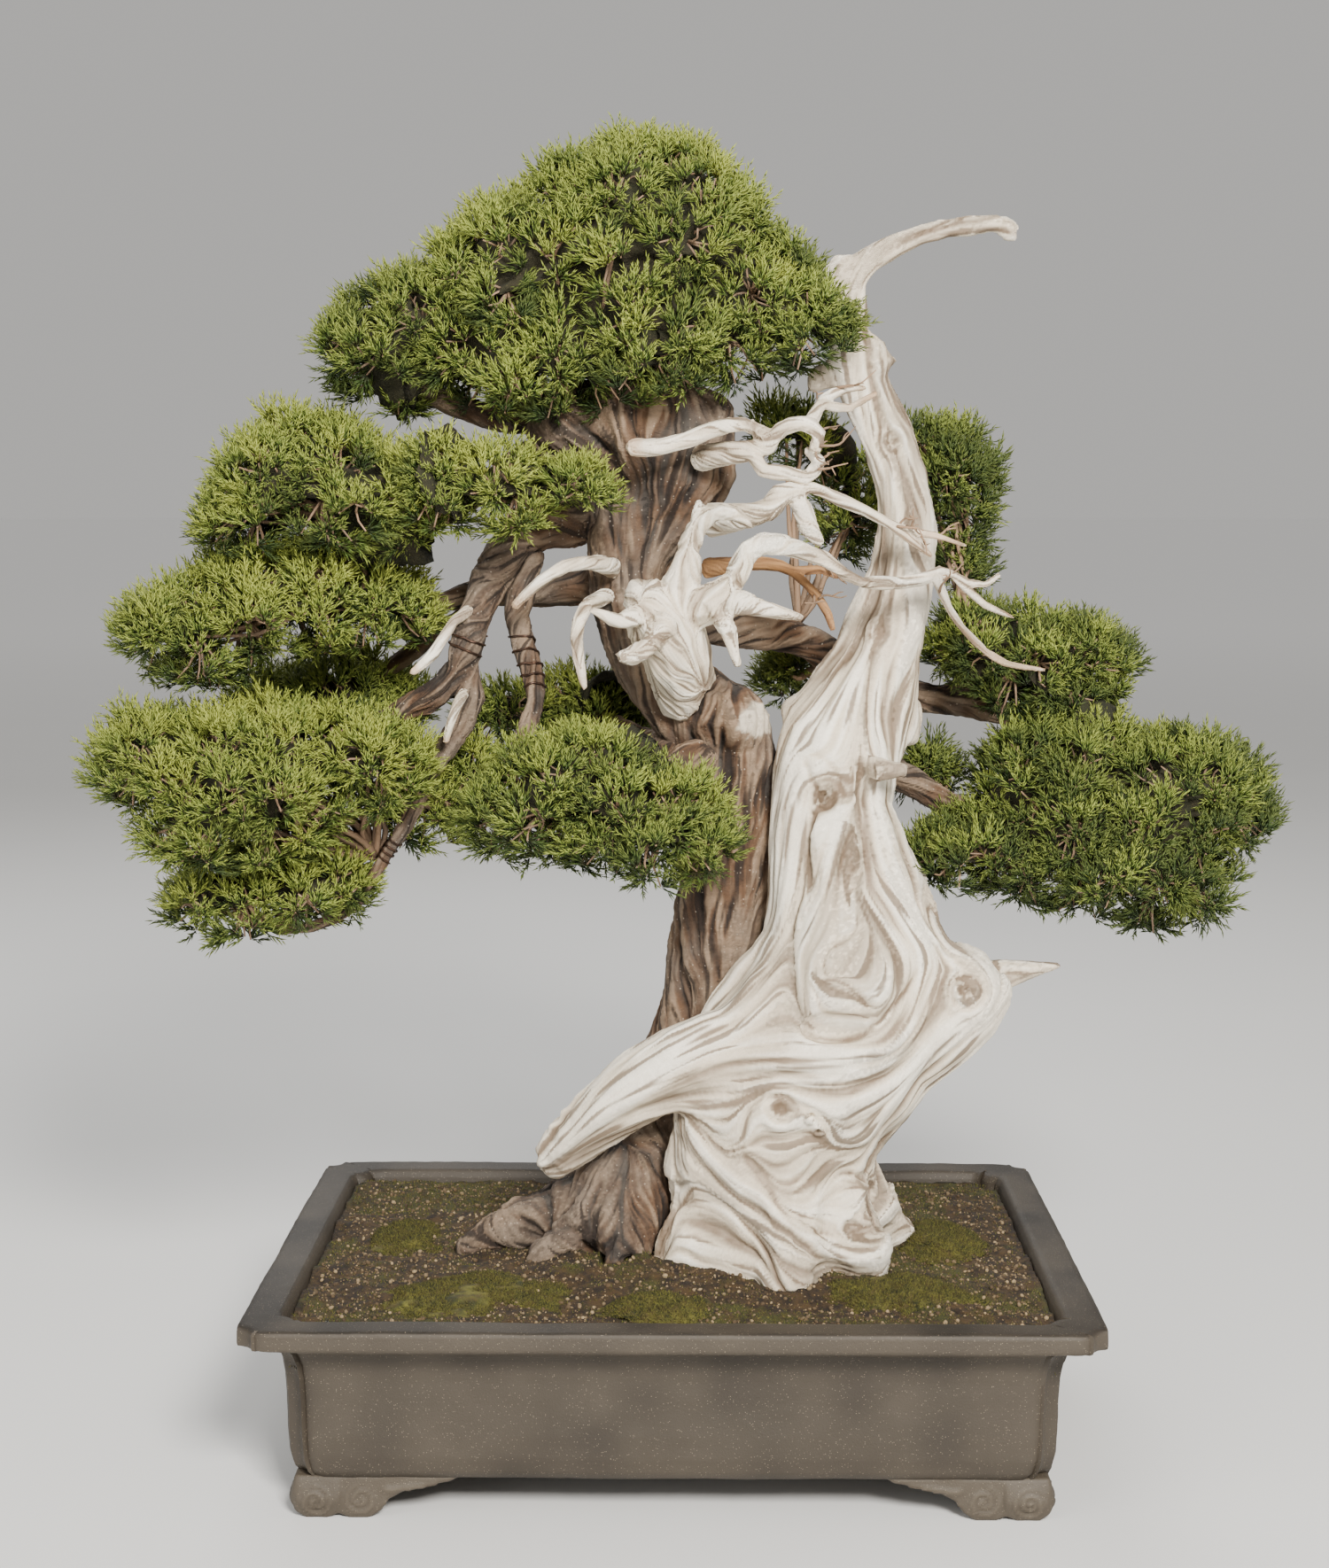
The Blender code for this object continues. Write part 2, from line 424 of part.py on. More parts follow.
def add_limb(bm, route, depth=1.0, sides=10):
    """Adds a tapering tube along a route. Its section is flattened front to back by depth."""
    points = curve_points(route, 0.020)
    rings = []
    for i, (centre, radius) in enumerate(points):
        ahead = points[min(i + 1, len(points) - 1)][0] - points[max(i - 1, 0)][0]
        across = ahead.cross(Vector((0.0, 1.0, 0.0)))
        if across.length < 1e-6:
            across = Vector((1.0, 0.0, 0.0))
        across.normalize()
        front = across.cross(ahead).normalized() * depth
        ring = []
        for k in range(sides):
            angle = 2 * math.pi * k / sides
            ring.append(bm.verts.new(centre + radius * (math.cos(angle) * across + math.sin(angle) * front)))
        rings.append(ring)
    for lower, upper in zip(rings, rings[1:]):
        for k in range(sides):
            bm.faces.new((lower[k], lower[(k + 1) % sides], upper[(k + 1) % sides], upper[k]))
    for ring, end in ((rings[0], 0), (rings[-1], -1)):
        neighbour = points[1 if end == 0 else -2][0]
        centre, radius = points[end]
        tip = bm.verts.new(centre + (centre - neighbour).normalized() * radius * 0.6)
        for k in range(sides):
            bm.faces.new((ring[k], ring[(k + 1) % sides], tip))


def fuse(bm, voxel, rounds, triangles):
    """Melts overlapping solids into one rounded body of about the stated number of triangles."""
    source = to_mesh(bm)

    def remesh(holder):
        modifier = holder.modifiers.new("melt", "REMESH")
        modifier.mode = "VOXEL"
        modifier.voxel_size = voxel
        relax = holder.modifiers.new("relax", "SMOOTH")
        relax.factor = 0.5
        relax.iterations = rounds

    dense = apply_modifiers(source, remesh)
    count = sum(len(face.vertices) - 2 for face in dense.polygons)

    def thin(holder):
        modifier = holder.modifiers.new("thin", "DECIMATE")
        modifier.ratio = min(1.0, triangles / count)

    return keep_largest_body(apply_modifiers(dense, thin))


def notched_outline(inset):
    """The pot's plan: a rectangle with stepped-in corners, counter-clockwise from the right front."""
    x, y, n = POT_HALF_X - inset, POT_HALF_Y - inset, CORNER_NOTCH
    corner = ((x, -y + n), (x - 0.5 * n, -y + 0.94 * n), (x - 0.94 * n, -y + 0.5 * n), (x - n, -y))
    outline = []
    for sign_x, sign_y in ((1, 1), (-1, 1), (-1, -1), (1, -1)):
        points = [(sign_x * cx, -sign_y * cy) for cx, cy in corner]
        outline += points if sign_x * sign_y > 0 else points[::-1]
    return outline


def loft(levels):
    """Skins outlines of equal length, given as (outline, height), and caps both ends."""
    bm = bmesh.new()
    rings = [[bm.verts.new((x, y, z)) for x, y in outline] for outline, z in levels]
    count = len(rings[0])
    for lower, upper in zip(rings, rings[1:]):
        for k in range(count):
            bm.faces.new((lower[k], lower[(k + 1) % count], upper[(k + 1) % count], upper[k]))
    bm.faces.new(rings[0][::-1])
    bm.faces.new(rings[-1])
    return bm


def cylinder(x, y, z, radius, height, sides=16):
    """An upright cylinder centred on a point, as a mesh."""
    bm = bmesh.new()
    bmesh.ops.create_cone(bm, cap_ends=True, segments=sides, radius1=radius, radius2=radius, depth=height,
                          matrix=Matrix.Translation((x, y, z)))
    return to_mesh(bm)


def foot_profile(length):
    """A cloud-scroll foot seen from its face: (distance from its outer end, height)."""
    top = FOOT_HEIGHT + 0.004
    return ((0.000, top), (-0.003, 0.021), (-0.004, 0.013), (-0.001, 0.005), (0.006, 0.000),
            (0.024, 0.000), (0.030, 0.003), (0.036, 0.000), (0.052, 0.000), (0.060, 0.005),
            (0.065, 0.013), (0.078, 0.020), (length, FOOT_HEIGHT - 0.0015), (length, top))


def foot_plate(sign_x, sign_y, along_x):
    """One leg of a corner foot, a thick plate with the scroll outline. No two faces of the legs are flush."""
    bm = bmesh.new()
    corner_x, corner_y = POT_HALF_X - FOOT_INSET, POT_HALF_Y - FOOT_INSET
    length = FOOT_LENGTH if along_x else FOOT_LENGTH * 0.85
    rings = []
    for inward in (0.0, FOOT_DEPTH):
        ring = []
        for distance, height in foot_profile(length):
            if along_x:
                spot = (sign_x * (corner_x - distance), sign_y * (corner_y - inward), height)
            else:
                spot = (sign_x * (corner_x - inward - 0.0007), sign_y * (corner_y - distance - 0.0005),
                        height + 0.0003)
            ring.append(bm.verts.new(spot))
        rings.append(ring)
    count = len(rings[0])
    for k in range(count):
        bm.faces.new((rings[0][k], rings[0][(k + 1) % count], rings[1][(k + 1) % count], rings[1][k]))
    bm.faces.new(rings[0][::-1])
    bm.faces.new(rings[1])
    return to_mesh(bm)


def build_pot():
    """The fired pot: walls, floor with its holes, and four scroll feet."""
    mesh = to_mesh(loft([(notched_outline(inset), z) for inset, z in WALL]))
    for sign_x in (-1, 1):
        for sign_y in (-1, 1):
            for along_x in (True, False):
                mesh = boolean(mesh, foot_plate(sign_x, sign_y, along_x), "UNION")
    middle = (FOOT_HEIGHT + FLOOR_TOP) / 2
    for sign in (-1, 1):
        mesh = boolean(mesh, cylinder(sign * DRAIN_X, 0.0, middle, DRAIN_RADIUS, 0.04), "DIFFERENCE")
        mesh = boolean(mesh, cylinder(sign * TIE_HOLE_X, 0.0, middle, TIE_HOLE_RADIUS, 0.04, 8), "DIFFERENCE")
    return keep_largest_body(mesh)


def inner_inset(z):
    """How far the inner wall lies in from the rim's edge at a height."""
    inner = WALL[-4:]
    for (inset_a, z_a), (inset_b, z_b) in zip(inner, inner[1:]):
        if z_b <= z <= z_a:
            return inset_a + (inset_b - inset_a) * (z_a - z) / max(z_a - z_b, 1e-9)
    return inner[-1][0]


def build_screens():
    """A square of mesh over each drain hole."""
    screens = {}
    for name, sign in (("drain_screen_left", -1), ("drain_screen_right", 1)):
        bm = bmesh.new()
        bmesh.ops.create_cube(bm, size=1.0)
        bmesh.ops.scale(bm, verts=bm.verts, vec=(SCREEN_SIZE, SCREEN_SIZE, SCREEN_THICK))
        bmesh.ops.translate(bm, verts=bm.verts, vec=(sign * DRAIN_X, 0.0, FLOOR_TOP + GAP + SCREEN_THICK / 2))
        screens[name] = to_mesh(bm)
    return screens


def build_gravel():
    """The drainage layer."""
    levels = [(notched_outline(inner_inset(z) + 0.0010), z) for z in (GRAVEL_BOTTOM, 0.0560, GRAVEL_TOP)]
    return to_mesh(loft(levels))


def soil_height(x, y):
    """The height of the soil's surface: level at the wall, higher round the trunk."""
    away = math.hypot((x - SOIL_CENTRE[0]) / SOIL_REACH, (y - SOIL_CENTRE[1]) / (SOIL_REACH * 0.72))
    return SOIL_EDGE + SOIL_RISE * max(0.0, 1.0 - away * away)


def build_soil():
    """The soil, with its mounded surface."""
    bottom = GRAVEL_TOP + GAP
    bm = bmesh.new()
    outline = notched_outline(inner_inset(SOIL_EDGE) + 0.0012)
    low = [bm.verts.new((x, y, bottom)) for x, y in notched_outline(inner_inset(bottom) + 0.0012)]
    rings = [low]
    for scale in (1.0, 0.86, 0.70, 0.54, 0.38, 0.20):
        ring = []
        for x, y in outline:
            px = SOIL_CENTRE[0] + (x - SOIL_CENTRE[0]) * scale
            py = SOIL_CENTRE[1] + (y - SOIL_CENTRE[1]) * scale
            ring.append(bm.verts.new((px, py, soil_height(px, py))))
        rings.append(ring)
    count = len(outline)
    for lower, upper in zip(rings, rings[1:]):
        for k in range(count):
            bm.faces.new((lower[k], lower[(k + 1) % count], upper[(k + 1) % count], upper[k]))
    bm.faces.new(low[::-1])
    top = bm.verts.new((*SOIL_CENTRE, soil_height(*SOIL_CENTRE)))
    for k in range(count):
        bm.faces.new((rings[-1][k], rings[-1][(k + 1) % count], top))
    return to_mesh(bm)


def build_moss(x, y, half_x, half_y):
    """A low cushion of moss, wavy in plan. Its underside is cut to the soil afterwards."""
    bm = bmesh.new()
    rings = []
    for scale, lift in ((0.8, -0.004), (1.0, 0.0015), (0.86, 0.62 * MOSS_THICK), (0.5, MOSS_THICK)):
        ring = []
        for k in range(20):
            angle = 2 * math.pi * k / 20
            reach = scale * (1.0 + 0.10 * math.sin(3 * angle + x) + 0.07 * math.sin(5 * angle + y))
            px = (x + half_x * reach * math.cos(angle)) * CM
            py = (y + half_y * reach * math.sin(angle)) * CM
            ring.append(bm.verts.new((px, py, soil_height(px, py) + lift)))
        rings.append(ring)
    for lower, upper in zip(rings, rings[1:]):
        for k in range(20):
            bm.faces.new((lower[k], lower[(k + 1) % 20], upper[(k + 1) % 20], upper[k]))
    for ring, lift in ((rings[0], -0.004), (rings[-1], MOSS_THICK)):
        tip = bm.verts.new((x * CM, y * CM, soil_height(x * CM, y * CM) + lift))
        for k in range(20):
            bm.faces.new((ring[k], ring[(k + 1) % 20], tip))
    return to_mesh(bm)


def build_limbs(routes, voxel, rounds, triangles, depth=1.0):
    """Tubes along routes, melted into one body."""
    bm = bmesh.new()
    for route in routes:
        add_limb(bm, route, depth)
    return fuse(bm, voxel, rounds, triangles)


def ellipsoid(bm, centre, size, squash=0.75):
    """Adds a lump whose underside is flatter than its top, within centre +- size."""
    made = bmesh.ops.create_icosphere(bm, subdivisions=3, radius=1.0)["verts"]
    middle = centre[2] - (1.0 - squash) * size[2]
    for vertex in made:
        height = size[2] * ((2.0 - squash) if vertex.co.z > 0 else squash)
        vertex.co = Vector((centre[0] + vertex.co.x * size[0], centre[1] + vertex.co.y * size[1],
                            middle + vertex.co.z * height)) * CM


def build_pad(lobes):
    """A leaf pad: its lobes melted together."""
    bm = bmesh.new()
    for lobe in lobes:
        ellipsoid(bm, lobe[:3], lobe[3:])
    return fuse(bm, 0.010, 2, 90 + 44 * len(lobes))


def build_wire(route, first, last, turns, radius):
    """A wire wound round one stretch of a branch, as a helix of round section."""
    axis = curve_points(route, 0.020)
    spans = [0]
    for i in range(len(route) - 1):
        length = (Vector(route[i + 1][:3]) - Vector(route[i][:3])).length * CM
        spans.append(spans[-1] + max(2, round(length / 0.020)))

    def at(position):
        whole = min(int(position), len(spans) - 2)
        place = spans[whole] + (position - whole) * (spans[whole + 1] - spans[whole])
        low = min(int(place), len(axis) - 2)
        part = place - low
        return (axis[low][0].lerp(axis[low + 1][0], part),
                axis[low][1] + (axis[low + 1][1] - axis[low][1]) * part,
                (axis[low + 1][0] - axis[low][0]).normalized())

    steps = turns * 8
    points = []
    for k in range(steps + 1):
        centre, thick, ahead = at(first + (last - first) * k / steps)
        across = ahead.cross(Vector((0.0, 1.0, 0.0))).normalized()
        front = across.cross(ahead).normalized()
        angle = 2 * math.pi * turns * k / steps
        reach = thick + radius * CM + WIRE_CLEARANCE
        points.append(centre + reach * (math.cos(angle) * across + math.sin(angle) * front))
    bm = bmesh.new()
    rings = []
    for k, point in enumerate(points):
        ahead = (points[min(k + 1, steps)] - points[max(k - 1, 0)]).normalized()
        side = ahead.orthogonal().normalized() if k == 0 else (side - side.dot(ahead) * ahead).normalized()
        other = ahead.cross(side)
        rings.append([bm.verts.new(point + radius * CM * (math.cos(a) * side + math.sin(a) * other))
                      for a in (0.0, math.pi / 2, math.pi, 3 * math.pi / 2)])
    for lower, upper in zip(rings, rings[1:]):
        for k in range(4):
            bm.faces.new((lower[k], lower[(k + 1) % 4], upper[(k + 1) % 4], upper[k]))
    bm.faces.new(rings[0][::-1])
    bm.faces.new(rings[-1])
    return to_mesh(bm)


def build_tree():
    """All the woody pieces, each cut clear of the ones before it: name to mesh."""
    wood = {}
    deadwood = build_limbs(DEADWOOD_ROUTES, 0.0045, 5, 1500, depth=0.78)
    hollow = bmesh.new()
    ellipsoid(hollow, HOLLOW_CENTRE, HOLLOW_SIZE, squash=1.0)
    wood["trunk_deadwood"] = keep_largest_body(boolean(deadwood, to_mesh(hollow), "DIFFERENCE"))
    wood["trunk_live"] = carve(build_limbs(LIVE_ROUTES, 0.0045, 5, 1000), wood.values())
    for name, routes in BRANCHES.items():
        wood[name] = carve(build_limbs(routes, 0.0022, 2, 110 * len(routes) + 60), wood.values())
    for name, routes in JINS.items():
        wood[name] = carve(build_limbs(routes, 0.0013, 1, 62 * len(routes) + 50), wood.values())
    return wood


def main():
    """Builds every piece of the tree and the pot."""
    clear_scene()
    wood = build_tree()
    trunks = [wood["trunk_deadwood"], wood["trunk_live"]]

    soil = carve(build_soil(), trunks)
    moss = {name: carve(build_moss(*spot), [soil, *trunks]) for name, spot in MOSS.items()}
    pads = {}
    for name, lobes in PADS.items():
        pads[name] = carve(build_pad(lobes), [*wood.values(), *pads.values()])

    add_node("pot", shift(build_pot()), "clay", roughness=0.75)
    for name, mesh in build_screens().items():
        add_node(name, shift(mesh), "mesh", roughness=0.6, smooth=False)
    add_node("gravel_layer", shift(build_gravel()), "gravel", smooth=False)
    add_node("soil", shift(soil), "soil", roughness=0.95)
    for name, mesh in moss.items():
        add_node(name, shift(mesh), "moss", roughness=0.95)
    for name, spec in WIRES.items():
        branch, route, first, last, turns, radius = spec
        routes = BRANCHES[branch]
        add_node(name, shift(build_wire(routes[route], first, last, turns, radius)), "wire", 0.45, 0.9)
    for name, mesh in wood.items():
        living = name == "trunk_live" or name in BRANCHES
        colour = "bark" if living else "twig" if name == "dead_twig_brown" else "deadwood"
        add_node(name, shift(mesh), colour, roughness=0.8)
    for name, mesh in pads.items():
        add_node(name, shift(mesh), "leaf", roughness=0.9)


main()
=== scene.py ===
"""The looks of a potted juniper bonsai.

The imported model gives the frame: every piece here is grown from a node of it, or set out from a
node's box. Wood is remeshed finely and carved along the way its grain runs, leaf pads are clothed
in tufts of shoots on twigs, and the pot, soil, moss and wires are modelled in full.
"""

import heapq
import logging
import math
from dataclasses import dataclass, field
from enum import Enum

import bmesh
import bpy
import numpy as np
from bpy.types import Material, Mesh, Node, NodeSocket, NodeTree, Object
from mathutils import Matrix, Vector
from mathutils.bvhtree import BVHTree
from numpy import ndarray as Array
from numpy.random import Generator, default_rng


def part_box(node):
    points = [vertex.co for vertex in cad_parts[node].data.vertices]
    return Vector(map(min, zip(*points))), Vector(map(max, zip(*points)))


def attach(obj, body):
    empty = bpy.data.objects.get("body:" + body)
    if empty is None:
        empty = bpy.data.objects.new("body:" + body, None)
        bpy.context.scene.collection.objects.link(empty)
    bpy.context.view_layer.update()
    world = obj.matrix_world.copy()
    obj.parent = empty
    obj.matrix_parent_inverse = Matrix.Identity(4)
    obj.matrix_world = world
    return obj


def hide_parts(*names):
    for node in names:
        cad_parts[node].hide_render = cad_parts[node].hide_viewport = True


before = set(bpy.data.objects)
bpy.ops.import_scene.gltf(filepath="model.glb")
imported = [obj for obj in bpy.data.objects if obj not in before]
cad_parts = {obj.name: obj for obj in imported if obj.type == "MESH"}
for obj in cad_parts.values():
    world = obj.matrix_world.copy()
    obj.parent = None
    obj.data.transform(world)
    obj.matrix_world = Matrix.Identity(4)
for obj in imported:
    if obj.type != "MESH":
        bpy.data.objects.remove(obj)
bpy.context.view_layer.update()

LOG = logging.getLogger("bonsai")
UP = np.array((0.0, 0.0, 1.0))
BODY = "root"


# Numbers over points

def lattice(cells: Array, seed: int) -> Array:
    """Gives every cell of an endless grid its own random value.

    Args:
        cells: Whole cell numbers, n by 3.
        seed: Which of the random grids to read.

    Returns:
        One value from -1 to 1 for each cell.
    """
    mixed = (cells[:, 0] * 73856093) ^ (cells[:, 1] * 19349663) ^ (cells[:, 2] * 83492791)
    mixed = (mixed ^ (seed * 2654435761)) & 0xFFFFFFFF
    mixed = ((mixed ^ (mixed >> 15)) * 2246822519) & 0xFFFFFFFF
    mixed = ((mixed ^ (mixed >> 13)) * 3266489917) & 0xFFFFFFFF
    mixed ^= mixed >> 16
    return mixed / 2147483647.5 - 1.0


def lumps(points: Array, size: float, seed: int = 0) -> Array:
    """Smooth random values in space.

    Args:
        points: Places, n by 3.
        size: How wide one lump is, in metres.
        seed: Which random field.

    Returns:
        One value from about -1 to 1 for each place.
    """
    spot = points / size + 1000.0
    cell = np.floor(spot).astype(np.int64)
    part = spot - cell
    part = part * part * (3.0 - 2.0 * part)
    total = np.zeros(len(points))
    for corner in range(8):
        step = np.array((corner & 1, corner >> 1 & 1, corner >> 2 & 1))
        weight = np.prod(np.where(step, part, 1.0 - part), axis=1)
        total += weight * lattice(cell + step, seed)
    return total


def span(points: Array) -> tuple[Array, Array]:
    """The lowest and the highest corner of the box round some points."""
    return points.min(axis=0), points.max(axis=0)


def unit(vectors: Array) -> Array:
    """Vectors of length 1 in the same directions."""
    return vectors / np.maximum(np.linalg.norm(vectors, axis=-1, keepdims=True), 1e-12)


def ramp(values: Array, low: float, high: float) -> Array:
    """Values from low to high, eased from 0 to 1."""
    part = np.clip((values - low) / (high - low), 0.0, 1.0)
    return part * part * (3.0 - 2.0 * part)


def in_surface(vectors: Array, normals: Array) -> Array:
    """Vectors of length 1 with what points out of the surface taken away."""
    return unit(vectors - normals * np.sum(vectors * normals, axis=1, keepdims=True))


def beside(values: Array, a: Array, b: Array) -> Array:
    """The sum of the values at the other ends of each vertex's edges.

    Args:
        values: One number for each vertex.
        a: The vertex at the first end of each edge.
        b: The vertex at its second end.

    Returns:
        One sum for each vertex.
    """
    return np.bincount(a, values[b], len(values)) + np.bincount(b, values[a], len(values))


def even_scale(values: Array) -> Array:
    """Values centred on 0 with a spread of 1."""
    return (values - values.mean()) / max(float(values.std()), 1e-9)


# Meshes

def read(items: object, key: str, width: int, kind: type = float) -> Array:
    """Reads numbers from every item of a mesh.

    Args:
        items: The mesh's vertices, edges or normals.
        key: What to read.
        width: Numbers in each item.
        kind: The numbers' type.

    Returns:
        One row for each item.
    """
    flat = np.empty(len(items) * width, dtype=kind)
    items.foreach_get(key, flat)
    return flat.reshape(-1, width)


def read_points(mesh: Mesh) -> Array:
    """A mesh's vertices, n by 3."""
    return read(mesh.vertices, "co", 3)


def write_points(mesh: Mesh, points: Array) -> None:
    """Moves a mesh's vertices."""
    mesh.vertices.foreach_set("co", points.astype(np.float32).ravel())
    mesh.update()


def read_normals(mesh: Mesh) -> Array:
    """A mesh's vertex normals, n by 3."""
    return read(mesh.vertex_normals, "vector", 3, np.float32).astype(float)


def read_edges(mesh: Mesh) -> Array:
    """A mesh's edges as pairs of vertex numbers, n by 2."""
    return read(mesh.edges, "vertices", 2, np.int32)


def paint(mesh: Mesh, name: str, values: Array) -> None:
    """Stores a number or a vector on every vertex, for a finish to read.

    Args:
        mesh: The mesh to store it on.
        name: What the finish asks for it by.
        values: n numbers, or n by 3.
    """
    kind = "FLOAT" if values.ndim == 1 else "FLOAT_VECTOR"
    attribute = mesh.attributes.new(name, kind, "POINT")
    key = "value" if values.ndim == 1 else "vector"
    attribute.data.foreach_set(key, values.astype(np.float32).ravel())


def mesh_of(name: str, points: Array, faces: Array) -> Mesh:
    """Builds a mesh whose faces all have the same number of corners.

    Args:
        name: The mesh's name.
        points: Vertices, n by 3.
        faces: Vertex numbers, m by 3 or m by 4.

    Returns:
        The mesh, shaded smooth.
    """
    mesh = bpy.data.meshes.new(name)
    sides = faces.shape[1]
    mesh.vertices.add(len(points))
    mesh.vertices.foreach_set("co", points.astype(np.float32).ravel())
    mesh.loops.add(len(faces) * sides)
    mesh.loops.foreach_set("vertex_index", faces.astype(np.int32).ravel())
    mesh.polygons.add(len(faces))
    mesh.polygons.foreach_set("loop_start", np.arange(0, len(faces) * sides, sides, dtype=np.int32))
    mesh.polygons.foreach_set("loop_total", np.full(len(faces), sides, dtype=np.int32))
    mesh.update(calc_edges=True)
    mesh.shade_smooth()
    return mesh


def show(name: str, data: bpy.types.ID) -> Object:
    """Puts a mesh, a lamp or a camera in the scene.

    Args:
        name: The object's name.
        data: What it shows.

    Returns:
        The new object.
    """
    shown = bpy.data.objects.new(name, data)
    bpy.context.scene.collection.objects.link(shown)
    return shown


def evaluated(mesh: Mesh, *modifiers: tuple[str, dict[str, object]]) -> Mesh:
    """A mesh as a row of modifiers leaves it.

    Args:
        mesh: The mesh to start from, which stays as it is.
        modifiers: Pairs of a modifier's type and its settings.

    Returns:
        A new mesh.
    """
    holder = show("holder", mesh)
    for kind, settings in modifiers:
        modifier = holder.modifiers.new(kind.lower(), kind)
        for key, value in settings.items():
            setattr(modifier, key, value)
    depsgraph = bpy.context.evaluated_depsgraph_get()
    result = bpy.data.meshes.new_from_object(holder.evaluated_get(depsgraph))
    bpy.data.objects.remove(holder, do_unlink=True)
    return result


def add_piece(name: str, mesh: Mesh, finish: Material,
              nodes: tuple[str, ...] = ()) -> Object:
    """Puts a finished mesh in the scene as a piece of the object.

    Args:
        name: The piece's name.
        mesh: Its mesh, in the frame's coordinates.
        finish: Its material.
        nodes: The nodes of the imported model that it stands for.

    Returns:
        The new object.
    """
    mesh.name = name
    mesh.materials.clear()
    mesh.materials.append(finish)
    piece = show(name, mesh)
    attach(piece, BODY)
    if nodes:
        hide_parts(*nodes)
    LOG.info("%s: %d faces", name, len(mesh.polygons))
    return piece


def node_box(node: str) -> tuple[Array, Array]:
    """The lowest and the highest corner of a node's box."""
    low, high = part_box(node)
    return np.array(low), np.array(high)


def node_mesh(node: str) -> Mesh:
    """A copy of a node's mesh with its doubled vertices joined.

    Args:
        node: The node's name.

    Returns:
        The copy.
    """
    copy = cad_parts[node].data.copy()
    work = bmesh.new()
    work.from_mesh(copy)
    bmesh.ops.remove_doubles(work, verts=work.verts, dist=1e-6)
    work.to_mesh(copy)
    work.free()
    return copy


@dataclass
class Tubes:
    """Collects many tapering tubes in one mesh.

    Attributes:
        sides: Corners of each tube's section.
        points: The vertices so far, a block for each tube.
        faces: The triangles so far.
        tones: The tones so far.
        count: Vertices so far.
    """

    sides: int = 5
    points: list[Array] = field(default_factory=list)
    faces: list[Array] = field(default_factory=list)
    tones: list[Array] = field(default_factory=list)
    count: int = 0

    def add(self, line: Array, radii: Array, tone: float = 0.0) -> None:
        """Adds one tube.

        Args:
            line: Its centre line, n by 3.
            radii: Its radius at each point.
            tone: The number that its finish reads as "tone".
        """
        ahead = unit(np.gradient(line, axis=0))
        side = unit(np.cross(ahead[0], (0.31, 0.52, 0.79)))
        rings = []
        for i, direction in enumerate(ahead):
            side = unit(side - direction * (side @ direction))
            other = np.cross(direction, side)
            angles = 2 * math.pi * np.arange(self.sides) / self.sides
            circle = np.cos(angles)[:, None] * side + np.sin(angles)[:, None] * other
            rings.append(line[i] + circle * radii[i])
        body = np.vstack([*rings, line[:1], line[-1:]])
        quads = []
        for i in range(len(line) - 1):
            for k in range(self.sides):
                low, high = i * self.sides, (i + 1) * self.sides
                quads.append((low + k, low + (k + 1) % self.sides, high + (k + 1) % self.sides, high + k))
        first, last = len(body) - 2, len(body) - 1
        top = (len(line) - 1) * self.sides
        for k in range(self.sides):
            quads.append((first, (k + 1) % self.sides, k, k))
            quads.append((last, top + k, top + (k + 1) % self.sides, top + (k + 1) % self.sides))
        quads = np.array(quads)
        triangles = np.vstack([quads[:, [0, 1, 2]], quads[:, [0, 2, 3]]])
        solid = (triangles[:, 0] != triangles[:, 1]) & (triangles[:, 1] != triangles[:, 2])
        self.faces.append(triangles[solid & (triangles[:, 0] != triangles[:, 2])] + self.count)
        self.points.append(body)
        self.tones.append(np.full(len(body), tone))
        self.count += len(body)

    def mesh(self, name: str) -> Mesh:
        """All the tubes as one mesh, painted with their tones.

        Args:
            name: The mesh's name.

        Returns:
            The mesh.
        """
        mesh = mesh_of(name, np.vstack(self.points), np.vstack(self.faces))
        paint(mesh, "tone", np.concatenate(self.tones))
        return mesh


def smooth_line(points: Array, count: int) -> Array:
    """A smooth line of count points through a few given ones.

    Args:
        points: The points it goes through.
        count: How many points.

    Returns:
        The points on the line.
    """
    knots = np.vstack([2 * points[0] - points[1], points, 2 * points[-1] - points[-2]])
    places = np.linspace(0, len(points) - 1 - 1e-9, count)
    whole = places.astype(int)
    t = (places - whole)[:, None]
    a, b, c, d = (knots[whole + i] for i in range(4))
    return 0.5 * (2 * b + (c - a) * t + (2 * a - 5 * b + 4 * c - d) * t**2 + (3 * b - a - 3 * c + d) * t**3)


# Finishes

Colour = tuple[float, float, float]
BARE_SCAR: Colour = (0.66, 0.58, 0.46)


